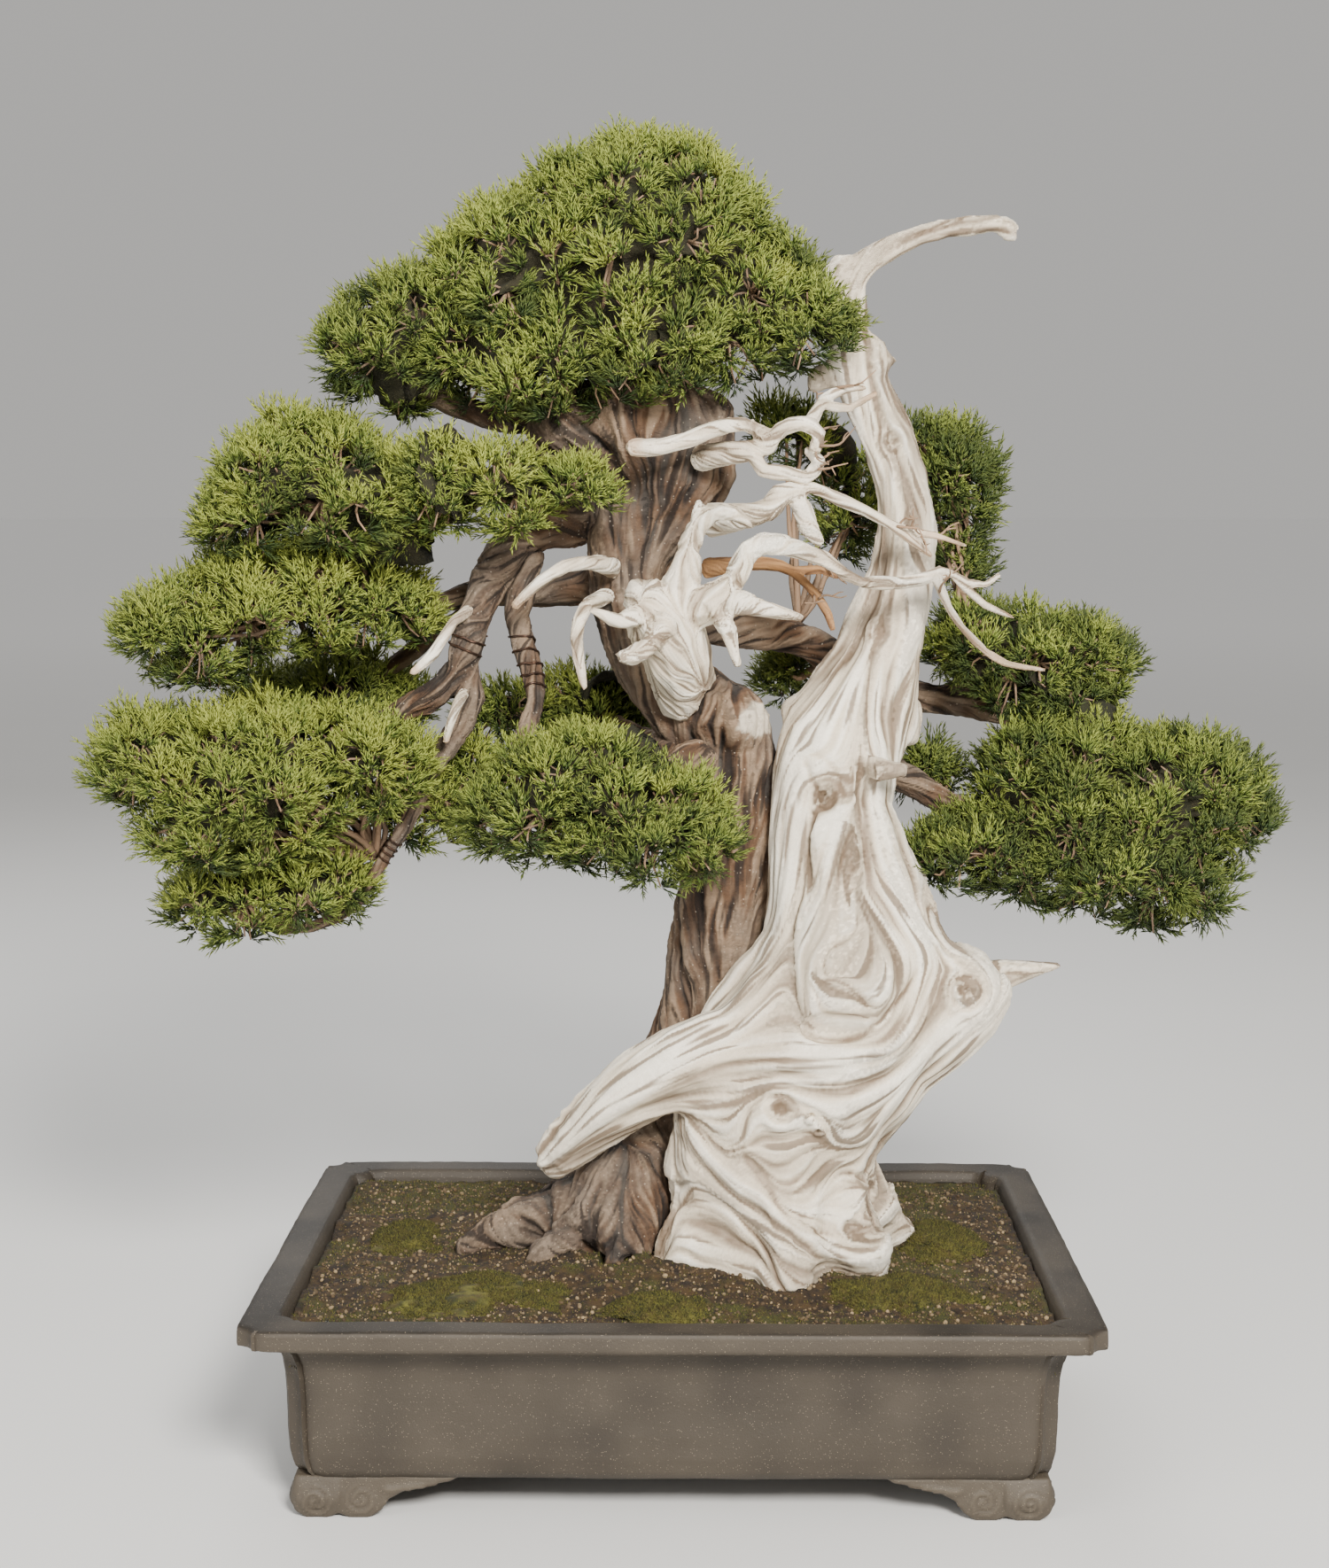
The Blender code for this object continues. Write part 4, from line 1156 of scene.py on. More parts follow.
    def bend_round_knots(self, points: Array, normals: Array, grain: Array,
                         centres: list[Array]) -> Array:
        """Turns the grain round each knot, as water runs round a stone.

        Args:
            points: Vertices, n by 3.
            normals: Their normals.
            grain: The grain's direction at each.
            centres: The middles of the knots.

        Returns:
            The new directions.
        """
        for knot, centre in zip(self.knots, centres):
            away = points - centre
            reach = np.linalg.norm(away, axis=1)
            outward = away / np.maximum(reach, 1e-9)[:, None]
            pull = (knot.radius * 1.15 / np.maximum(reach, knot.radius * 0.5)) ** 2
            along = np.sum(grain * outward, axis=1)
            bent = grain * (1 + pull[:, None]) - (2 * pull * along)[:, None] * outward
            near = ramp(reach, knot.radius * 6, knot.radius * 2.5)[:, None]
            grain = grain * (1 - near) + bent * near
            grain = in_surface(grain, normals)
        return grain

    def trace(self, points: Array, grain: Array, step: float,
              count: int) -> tuple[list[Array], list[Array]]:
        """Walks from each vertex with and against the grain.

        Args:
            points: Vertices.
            grain: The grain's direction at each.
            step: Length of a step.
            count: Number of steps each way.

        Returns:
            The places reached going with the grain, and against it.
        """
        cell = max(self.voxel * 2.5, 0.002)
        low = points.min(axis=0) - 3 * cell
        shape = tuple(np.ceil((points.max(axis=0) + 3 * cell - low) / cell).astype(int) + 1)
        number = self.cell_numbers(points, low, cell, shape)
        size = int(np.prod(shape))
        grid = np.stack([np.bincount(number, grain[:, i], size) for i in range(3)], axis=1).reshape(*shape, 3)
        for _ in range(2):
            spread = grid.copy()
            for axis in range(3):
                spread += 0.5 * (np.roll(grid, 1, axis) + np.roll(grid, -1, axis))
            grid = spread
        table = unit(grid).reshape(-1, 3)
        ways = []
        for sign in (1.0, -1.0):
            place = points.copy()
            places = []
            for _ in range(count):
                place = place + sign * step * table[self.cell_numbers(place, low, cell, shape)]
                places.append(place)
            ways.append(places)
        return ways[0], ways[1]

    @staticmethod
    def cell_numbers(points: Array, low: Array, cell: float, shape: tuple[int, ...]) -> Array:
        """The number of the grid cell that holds each point."""
        spot = np.clip(((points - low) / cell).astype(int), 0, np.array(shape) - 1)
        return (spot[:, 0] * shape[1] + spot[:, 1]) * shape[2] + spot[:, 2]

    def streaks(self, points: Array, ways: tuple[list[Array], list[Array]], step: float,
                width: float, length: float, seed: int) -> Array:
        """Random values drawn out along the grain, with a spread of 1.

        Args:
            points: Vertices, n by 3.
            ways: The places reached with the grain, and against it.
            step: Length of a step.
            width: Width of a streak, in metres.
            length: Length of a streak, in metres.
            seed: Which random numbers.

        Returns:
            One value for each vertex.
        """
        reach = min(len(ways[0]), max(2, int(0.5 * length / step)))
        skip = max(1, int(0.4 * width / step))
        total = lumps(points, width, seed)
        for k in range(0, reach, skip):
            weight = math.cos(0.5 * math.pi * (k + 1) / (reach + 1)) ** 2
            total = total + weight * (lumps(ways[0][k], width, seed) + lumps(ways[1][k], width, seed))
        return even_scale(total)

    def grain_coordinates(self, points: Array, grain: Array, levels: Array) -> Array:
        """Coordinates that hardly change along the grain, for fibres finer than the mesh.

        Args:
            points: Vertices, n by 3.
            grain: The grain's direction at each.
            levels: How far along the limb each vertex lies.

        Returns:
            Coordinates, n by 3.
        """
        step = max(self.voxel * 2.5, 0.002)
        count = int(min(220, 0.9 * float(levels.max()) / step)) if levels.max() > 1.5 * step else 4
        landed = self.trace(points, grain, step, max(count, 4))[1][-1] - points.mean(axis=0)
        share = (levels / max(float(levels.max()), 1e-6))[:, None]
        return landed * (1.0 - 0.55 * share) + 0.006 * share

    def add_stubs(self, plain: Mesh) -> None:
        """Joins the broken branches to the plain mesh.

        Args:
            plain: The plain mesh.
        """
        work = bmesh.new()
        work.from_mesh(plain)
        points = read_points(plain)
        for stub in self.stubs:
            x, z = on_box(points, stub.across, stub.height)
            near = points[np.argsort((points[:, 0] - x) ** 2 + (points[:, 2] - z) ** 2)[:6]]
            heading = Vector(stub.heading).normalized()
            start = Vector((x, float(near[:, 1].min()) + stub.radii[0], z))
            turn = heading.to_track_quat("Z", "Y").to_matrix().to_4x4()
            place = Matrix.Translation(start + heading * stub.length / 2) @ turn
            bmesh.ops.create_cone(work, cap_ends=True, segments=14, radius1=stub.radii[0],
                                  radius2=stub.radii[1], depth=stub.length, matrix=place)
        work.to_mesh(plain)
        work.free()

    def build(self, finish: Material) -> Object:
        """Makes the piece.

        Args:
            finish: The material.

        Returns:
            The new object.
        """
        plain = node_mesh(self.node)
        coarse_points, coarse_edges = read_points(plain), read_edges(plain)
        coarse_levels = self.coarse_levels(coarse_points, coarse_edges)
        self.add_stubs(plain)
        mesh = evaluated(plain, ("REMESH", {"mode": "VOXEL", "voxel_size": self.voxel}),
                         ("SMOOTH", {"factor": 0.5, "iterations": self.relax}))
        points, normals, edges = read_points(mesh), read_normals(mesh), read_edges(mesh)
        levels = self.transfer(coarse_points, coarse_levels, points)
        grain = self.flow(points, normals, edges, levels)
        grain, crease, crease_painted_shade = self.follow_guides(points, normals, grain)
        centres = self.knot_centres(points)
        grain = self.bend_round_knots(points, normals, grain, centres)
        step = max(self.voxel, 0.0012)
        longest = max(carving.length for carving in self.carvings)
        ways = self.trace(points, grain, step, int(0.5 * longest / step) + 1)
        depth = np.zeros(len(points))
        dark = np.zeros(len(points))
        # Painted shade and light: each groove is painted darker the deeper it is cut, and each ridge lighter.
        for i, carving in enumerate(self.carvings):
            wave = self.streaks(points, ways, step, carving.width, carving.length, self.seed + i)
            cut = np.clip(wave, -2.2, 2.2)
            depth += carving.depth * np.where(cut > 0, np.abs(cut) ** 1.3, -0.6 * np.abs(cut) ** 0.8)
            dark += cut * self.shading[min(i, len(self.shading) - 1)]
        streak = self.streaks(points, ways, step, 1.5 * self.voxel, 0.07, self.seed + 50)
        for knot, centre in zip(self.knots, centres):
            reach = np.linalg.norm(points - centre, axis=1) / knot.radius
            depth += knot.dish * np.exp(-(reach / 0.62) ** 2)
            depth -= 0.8 * knot.dish * np.exp(-((reach - 1.25) / 0.4) ** 2)
            rings = np.sin(reach * 8.0 + 1.5 * lumps(points, 0.01, 77)) * np.exp(-(reach / 1.3) ** 2)
            cracks = ramp(lumps(points, 0.0035, 78) + 0.5 * lumps(points, 0.0018, 79), 0.05, 0.5)
            depth += knot.rings * rings + 0.0008 * cracks * np.exp(-(reach / 0.7) ** 2)
            # Painted shade: each knot's sunk middle and its cracks are painted darker, and its rings where
            # they are cut deeper.
            dark += (0.1 + 1.5 * cracks) * np.exp(-(reach / 0.7) ** 2) + 0.5 * rings
        low, high = span(points)
        edge = np.maximum(ramp(points[:, 0], low[0] + 0.035, low[0] + 0.004),
                          0.6 * ramp(points[:, 2], low[2] + 0.085, low[2] + 0.060))
        depth += self.ragged * edge * (lumps(points, 0.011, 91) + 0.6 * lumps(points, 0.005, 92))
        flakes = np.abs(lumps(points, 0.010, 93)) + 0.6 * np.abs(lumps(points, 0.0045, 94))
        depth += self.flaky * (0.5 - flakes)
        give = self.give(mesh, points, normals, 16 * self.carvings[0].depth)
        depth = (depth + crease) * give - self.carvings[0].depth * 0.5 * (1 - give)
        # Painted shade: the downward faces of the low arm are painted darker, as strongly as its edge is
        # ragged.
        arm = ramp(points[:, 0], low[0] + 0.16, low[0] + 0.08)
        dark += 0.5 * self.ragged / 0.004 * ramp(-normals[:, 2], 0.25, 0.85) * arm + 2.2 * crease_painted_shade
        points = points - normals * depth[:, None]
        write_points(mesh, points)
        mesh.shade_smooth()
        # The groove value is painted shade: it darkens the finish in grooves, cracks and creases and under
        # the arm.
        paint(mesh, "groove", np.clip(0.42 + 0.30 * dark, 0.0, 1.0))
        paint(mesh, "streak", np.clip(0.5 + 0.35 * streak, 0.0, 1.0))
        paint(mesh, "grain", self.grain_coordinates(points, grain, levels))
        paint(mesh, "scar", self.scar_mask(points))
        end = ramp(levels / max(float(levels.max()), 1e-9), 0.72, 1.0)
        paint(mesh, "end", self.tip_stain * end * (0.6 + 0.4 * lumps(points, 0.012, 41)))
        return add_piece(f"{self.node}_wood", mesh, finish, (self.node,))

    def scar_mask(self, points: Array) -> Array:
        """Where the bark was cut away to bare wood, 0 to 1.

        Args:
            points: Vertices, n by 3.

        Returns:
            One share for each vertex.
        """
        mask = np.zeros(len(points))
        front = points[:, 1] < points[:, 1].mean()
        for across, height, radius in self.scars:
            x, z = on_box(points, across, height)
            reach = np.hypot(points[:, 0] - x, points[:, 2] - z) / radius
            reach = reach + 0.25 * lumps(points, 0.008, 5) + 0.2 * lumps(points, 0.004, 6)
            mask = np.maximum(mask, 0.9 * ramp(reach, 1.0, 0.85) * front)
        return mask


# Leaf pads

@dataclass(frozen=True)
class Tuft:
    """One tuft of shoots about the origin, pointing up.

    Attributes:
        points: Vertices.
        faces: Triangles.
        along: How far along its shoot each vertex lies, 0 to 1.
    """

    points: Array
    faces: Array
    along: Array


@dataclass(frozen=True)
class TuftMaker:
    """Makes tufts: stems that fan out, each set with short needles.

    Attributes:
        stems: Stems in a tuft.
        stem_length: Length of a stem.
        spread: The widest angle of a stem from the tuft's axis, in radians.
        needles: Needles on a stem.
        needle_length: Length of a needle.
        needle_radius: Radius of a needle at its foot.
    """

    stems: int = 10
    stem_length: float = 0.0150
    spread: float = 1.05
    needles: int = 9
    needle_length: float = 0.0098
    needle_radius: float = 0.00060

    def make(self, seed: int) -> Tuft:
        """Makes one tuft.

        Args:
            seed: Which random numbers.

        Returns:
            The tuft.
        """
        dice = default_rng(seed)
        points, faces, along = [], [], []
        count = 0

        def spike(start: Array, end: Array, radius: float, low: float, high: float) -> None:
            """Adds a three-sided spindle from start to end.

            Args:
                start: Its foot.
                end: Its tip.
                radius: Its radius at the widest.
                low: How far along its shoot it starts, 0 to 1.
                high: How far along its shoot it ends.
            """
            nonlocal count
            ahead = unit(end - start)
            side = unit(np.cross(ahead, (0.3, 0.8, 0.5)))
            other = np.cross(ahead, side)
            middle = 0.65 * start + 0.35 * end
            ring = [middle + radius * (math.cos(a) * side + math.sin(a) * other) for a in (0.0, 2.094, 4.189)]
            points.extend([start, *ring, end])
            for k in range(3):
                n = (k + 1) % 3
                faces.append((count, count + 1 + n, count + 1 + k))
                faces.append((count + 1 + k, count + 1 + n, count + 4))
            along.extend([low] + [0.65 * low + 0.35 * high] * 3 + [high])
            count += 5

        for i in range(self.stems):
            turn = 2.39996 * i + dice.uniform(-0.3, 0.3)
            lean = self.spread * math.sqrt((i + 0.5) / self.stems) * dice.uniform(0.85, 1.1)
            flat = math.sin(lean)
            direction = np.array((flat * math.cos(turn), flat * math.sin(turn), math.cos(lean)))
            length = self.stem_length * dice.uniform(0.8, 1.15)
            lift = np.array((0.0, 0.0, 0.28)) * length
            foot = direction * 0.001
            bend = foot + direction * length * 0.55 + lift * 0.25
            top = foot + direction * length + lift
            spike(foot, bend, 0.00080, 0.0, 0.35)
            spike(foot + (bend - foot) * 0.8, top, 0.00065, 0.35, 1.0)
            for k in range(self.needles):
                t = 0.22 + 0.74 * k / (self.needles - 1)
                start, end, share = (foot, bend, t / 0.55) if t < 0.55 else (bend, top, (t - 0.55) / 0.45)
                place = start + (end - start) * share
                heading = unit(top - foot) if t > 0.55 else unit(bend - foot)
                side = unit(np.cross(heading, dice.normal(size=3)))
                angle = dice.uniform(0.22, 0.55)
                reach = self.needle_length * dice.uniform(0.75, 1.15) * (1.0 - 0.35 * t)
                end = place + reach * (math.cos(angle) * heading + math.sin(angle) * side)
                spike(place, end, self.needle_radius, 0.15 + 0.45 * t, min(1.0, 0.62 + 0.45 * t))
        return Tuft(np.array(points), np.array(faces), np.array(along))


@dataclass
class LeafPad:
    """One leaf pad: clumps of tufts over its node's shape, on twigs.

    Attributes:
        node: The node of the frame that it stands for.
        spacing: Distance between tufts.
        clump: Distance between clumps.
        light: How much painted light its leaves get; below 0 they get painted shade.
        seed: Its own random numbers.
        most_faces: The most faces that one piece may have.
        outward: How strongly its tufts turn out from its surface.
        upward: How strongly its tufts turn up.
        cut: Two places (x, z); right of the first, shoots above the line through them are left out.
    """

    node: str
    spacing: float = 0.0138
    clump: float = 0.040
    light: float = 0.0
    seed: int = 0
    most_faces: int = 185000
    outward: float = 0.62
    upward: float = 0.80
    cut: tuple[tuple[float, float], tuple[float, float]] = ((0.0, 0.0), (0.0, 0.0))

    def scatter(self, spacing: float, dice: Generator) -> tuple[Array, Array]:
        """Spreads places evenly over the node's surface.

        Args:
            spacing: The least distance between two places.
            dice: Random numbers.

        Returns:
            The places and the surface's normals there, n by 3 each.
        """
        mesh = node_mesh(self.node)
        mesh.calc_loop_triangles()
        corners = np.empty(len(mesh.loop_triangles) * 3, dtype=np.int32)
        mesh.loop_triangles.foreach_get("vertices", corners)
        corners = corners.reshape(-1, 3)
        points, smooth = read_points(mesh), read_normals(mesh)
        a, b, c = (points[corners[:, i]] for i in range(3))
        cross = np.cross(b - a, c - a)
        area = 0.5 * np.linalg.norm(cross, axis=1)
        tries = int(6 * area.sum() / spacing**2) + 30
        pick = dice.choice(len(corners), tries, p=area / area.sum())
        u, v = dice.random(tries), dice.random(tries)
        over = u + v > 1
        u[over], v[over] = 1 - u[over], 1 - v[over]
        w = 1 - u - v
        places = w[:, None] * a[pick] + u[:, None] * b[pick] + v[:, None] * c[pick]
        blend = (w[:, None] * smooth[corners[pick, 0]] + u[:, None] * smooth[corners[pick, 1]]
                 + v[:, None] * smooth[corners[pick, 2]])
        kept, cells = [], {}
        for i, place in enumerate(places):
            key = tuple(np.floor(place / spacing).astype(int))
            rivals = [cells.get((key[0] + x, key[1] + y, key[2] + z), ()) for x in (-1, 0, 1)
                      for y in (-1, 0, 1) for z in (-1, 0, 1)]
            if all(np.sum((places[j] - place) ** 2) > spacing**2 for group in rivals for j in group):
                cells.setdefault(key, []).append(i)
                kept.append(i)
        return places[kept], unit(blend[kept])

    def hides_wood(self, places: Array) -> Array:
        """Which places are left bare, so that the wood beside the pad stays in view.

        Args:
            places: Places, n by 3.

        Returns:
            True for each place that is left bare.
        """
        (x0, z0), (x1, z1) = self.cut
        if x0 == x1:
            return np.zeros(len(places), dtype=bool)
        level = z0 + (z1 - z0) * (places[:, 0] - x0) / (x1 - x0)
        return (places[:, 0] > x0) & (places[:, 2] > level)

    def lay_core(self, finish: Material) -> None:
        """Fills the pad's inside with one rough dark mass: partly old shoots, partly painted shade.

        Args:
            finish: The material.
        """
        mesh = evaluated(node_mesh(self.node), ("REMESH", {"mode": "VOXEL", "voxel_size": 0.0042}),
                         ("SMOOTH", {"factor": 0.5, "iterations": 4}))
        points, normals = read_points(mesh), read_normals(mesh)
        sunk = 0.021 + 0.007 * lumps(points, 0.022, self.seed) + 0.006 * lumps(points, 0.008, self.seed + 1)
        sunk += 0.014 * ramp(-normals[:, 2], -0.2, 0.8) + 0.004 * self.hides_wood(points)
        write_points(mesh, points - normals * sunk[:, None])
        mesh.shade_smooth()
        paint(mesh, "tone", np.clip(0.5 + 0.5 * lumps(points, 0.006, self.seed + 2), 0, 1))
        add_piece(f"{self.node}_inside", mesh, finish, (self.node,))

    def build(self, tufts: list[Tuft], leaf: Material, core: Material,
              bark: Material) -> None:
        """Makes the pad's shoots, dark inside and twigs.

        Args:
            tufts: The tufts to choose from.
            leaf: The shoots' material.
            core: The inside's material.
            bark: The twigs' material.
        """
        dice = default_rng(self.seed)
        centres, centre_normals = self.scatter(self.clump, dice)
        places, normals = self.scatter(self.spacing, dice)
        gaps = np.sqrt(np.maximum(((places[:, None] - centres[None]) ** 2).sum(axis=2), 0))
        home = gaps.argmin(axis=1)
        distance = gaps[np.arange(len(places)), home]
        sideways = (places - centres[home]) / self.clump
        up = normals[:, 2]
        heading = unit(normals * self.outward + UP * self.upward + sideways
                       + dice.normal(scale=0.16, size=places.shape))
        bulge = np.cos(np.clip(distance / (0.62 * self.clump), 0, 1) * math.pi / 2)
        sink = 0.0135 - 0.0085 * bulge + dice.uniform(-0.002, 0.003, len(places))
        bare = (up < -0.35) & (dice.random(len(places)) < 0.35)
        opening = 0.7 * lumps(places, 0.040, 700 + self.seed) + 0.4 * lumps(places, 0.018, 701 + self.seed)
        hidden = self.hides_wood(places)
        keep = ~bare & ((opening < 0.46) | (up > 0.75)) & ~hidden
        # Painted light and shade: shoots that face up, stand on the crowns of their clumps or belong to a lit
        # pad are painted lighter; the random part of the tone is the shoots' own.
        shade = 0.46 + 0.24 * up + 0.22 * (bulge - 0.5) + 0.18 * self.light
        tones = shade + dice.normal(scale=0.17, size=len(places)) + 0.18 * lumps(places, 0.04, self.seed)
        feet = places - heading * sink[:, None]
        deep = places - normals * dice.uniform(0.015, 0.024, (len(places), 1))
        inner = (dice.random(len(places)) < 0.30) | (~keep & (dice.random(len(places)) < 0.9))
        feet = np.vstack([feet[keep], deep[inner]])
        loose = unit(heading[inner] + dice.normal(scale=0.5, size=(inner.sum(), 3)))
        directions = np.vstack([heading[keep], loose])
        # Painted shade: the loose tufts deep in the pad are painted dark.
        tones = np.concatenate([tones[keep], 0.08 + 0.22 * dice.random(inner.sum())])
        sizes = dice.uniform(0.85, 1.15, len(feet))
        self.lay_core(core)
        self.lay_tufts(feet, directions, tones, sizes, tufts, leaf, dice)
        self.lay_twigs(centres, centre_normals, places[keep], home[keep], feet[:keep.sum()], bark, dice)

    def lay_tufts(self, feet: Array, directions: Array, tones: Array, sizes: Array,
                  tufts: list[Tuft], leaf: Material, dice: Generator) -> None:
        """Sets a tuft on each foot and joins them in as few pieces as the face limit allows.

        Args:
            feet: Where the tufts stand.
            directions: Which way each points.
            tones: How light each is, 0 to 1: partly random, partly painted light and shade.
            sizes: The scale of each.
            tufts: The tufts to choose from.
            leaf: The shoots' material.
            dice: Random numbers.
        """
        spin = dice.uniform(0, 2 * math.pi, len(feet))
        side = unit(np.cross(directions, dice.normal(size=directions.shape)))
        other = np.cross(directions, side)
        across = np.cos(spin)[:, None] * side + np.sin(spin)[:, None] * other
        frames = np.stack([across, np.cross(directions, across), directions], axis=1) * sizes[:, None, None]
        kinds = dice.integers(0, len(tufts), len(feet))
        order = np.argsort(feet[:, 0])
        each = len(tufts[0].faces)
        parts = max(1, math.ceil(len(feet) * each / self.most_faces))
        for part, chosen in enumerate(np.array_split(order, parts)):
            points, faces, along, tone = [], [], [], []
            count = 0
            for i in chosen:
                tuft = tufts[kinds[i]]
                points.append(tuft.points @ frames[i] + feet[i])
                faces.append(tuft.faces + count)
                along.append(tuft.along)
                tone.append(np.full(len(tuft.points), tones[i]))
                count += len(tuft.points)
            mesh = mesh_of(self.node, np.vstack(points), np.vstack(faces))
            along_all, tone_all = np.concatenate(along), np.clip(np.concatenate(tone), 0.0, 1.0)
            paint(mesh, "along", along_all)
            paint(mesh, "tone", tone_all)
            self.lay_out(mesh, np.stack([0.01 + 0.98 * tone_all, 0.01 + 0.98 * along_all], axis=1))
            add_piece(f"{self.node}_shoots_{part + 1}", mesh, leaf, (self.node,))

    @staticmethod
    def lay_out(mesh: Mesh, places: Array) -> None:
        """Gives a mesh the layout that its finish is baked with: tone across, place on the shoot up.

        Args:
            mesh: The mesh.
            places: The place of each vertex on the layout.
        """
        corners = np.empty(len(mesh.loops), dtype=np.int32)
        mesh.loops.foreach_get("vertex_index", corners)
        layer = mesh.uv_layers.new(name="OFBake")
        layer.data.foreach_set("uv", places[corners].astype(np.float32).ravel())

    def lay_twigs(self, centres: Array, normals: Array, places: Array, home: Array,
                  feet: Array, bark: Material, dice: Generator) -> None:
        """Grows twigs from the pad's branch to each clump, and on to its tufts.

        Args:
            centres: The middles of the clumps.
            normals: Which way is out at each.
            places: Places on the pad.
            home: Which clump each foot belongs to.
            feet: Where the tufts stand.
            bark: The twigs' material.
            dice: Random numbers.
        """
        low, high = span(places)
        middle = (low + high) / 2
        middle[2] = low[2] + 0.32 * (high[2] - low[2])
        anchor = nearest_wood(middle)
        tubes = Tubes(sides=5)
        for number, (centre, normal) in enumerate(zip(centres, normals)):
            inside = centre - normal * 0.026
            spine = anchor + (inside - anchor) * 0.55
            spine[2] = min(spine[2], middle[2] + 0.4 * (spine[2] - middle[2]))
            route = np.vstack([anchor, anchor + (spine - anchor) * 0.5 + dice.normal(scale=0.004, size=3),
                               spine + dice.normal(scale=0.004, size=3), inside])
            line = smooth_line(route, 9)
            tubes.add(line, np.linspace(0.0030, 0.0013, 9), dice.random())
            for foot in feet[home == number]:
                elbow = 0.5 * (inside + foot) + dice.normal(scale=0.003, size=3)
                tubes.add(smooth_line(np.vstack([inside, elbow, foot]), 4), np.linspace(0.0012, 0.0006, 4),
                          dice.random())
        mesh = tubes.mesh(self.node)
        add_piece(f"{self.node}_twigs", mesh, bark)


def nearest_wood(place: Array) -> Array:
    """The point of a living branch or the living trunk that is nearest to a place.

    Args:
        place: A place.

    Returns:
        The point.
    """
    best, least = place, math.inf
    for name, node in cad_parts.items():
        if name.startswith("branch_") or name == "trunk_live":
            points = read_points(node.data)
            gaps = np.sum((points - place) ** 2, axis=1)
            if gaps.min() < least:
                least = float(gaps.min())
                best = points[gaps.argmin()]
    return best


# Pot and what it holds

def notched_plan(half_x: float, half_y: float, notch: float, count: int) -> Array:
    """A rectangle with a rounded step in each corner, as evenly spaced points.

    Args:
        half_x: Half its length.
        half_y: Half its width.
        notch: Size of the step.
        count: Number of points.

    Returns:
        Points, count by 2, counter-clockwise.
    """
    corner = [(half_x, half_y - notch - 0.004), (half_x - 0.0012, half_y - notch - 0.001),
              (half_x - 0.004, half_y - notch)]
    for step in range(6):
        turn = math.radians(270 - 90 * step / 5)
        corner.append((half_x + 0.82 * notch * math.cos(turn), half_y + 0.82 * notch * math.sin(turn)))
    corner += [(half_x - notch, half_y - 0.004), (half_x - notch - 0.001, half_y - 0.0012),
               (half_x - notch - 0.004, half_y)]
    corner = [point for point in corner if point[0] <= half_x + 1e-9 and point[1] <= half_y + 1e-9]
    plan = []
    for sign_x, sign_y in ((1, 1), (-1, 1), (-1, -1), (1, -1)):
        points = [(sign_x * x, sign_y * y) for x, y in corner]
        plan += points if sign_x * sign_y > 0 else points[::-1]
    closed = np.array([*plan, plan[0]])
    lengths = np.concatenate([[0.0], np.cumsum(np.linalg.norm(np.diff(closed, axis=0), axis=1))])
    spots = np.linspace(0, lengths[-1], count, endpoint=False)
    return np.stack([np.interp(spots, lengths, closed[:, i]) for i in range(2)], axis=1)


def skin(rings: list[Array], name: str) -> Mesh:
    """Joins rings of equal length into a closed body with flat ends.

    Args:
        rings: Rings of points, from one end to the other.
        name: The mesh's name.

    Returns:
        The mesh.
    """
    work = bmesh.new()
    rows = [[work.verts.new(point) for point in ring] for ring in rings]
    count = len(rows[0])
    for lower, upper in zip(rows, rows[1:]):
        for k in range(count):
            work.faces.new((lower[k], lower[(k + 1) % count], upper[(k + 1) % count], upper[k]))
    work.faces.new(rows[0][::-1])
    work.faces.new(rows[-1])
    mesh = bpy.data.meshes.new(name)
    work.to_mesh(mesh)
    work.free()
    return mesh


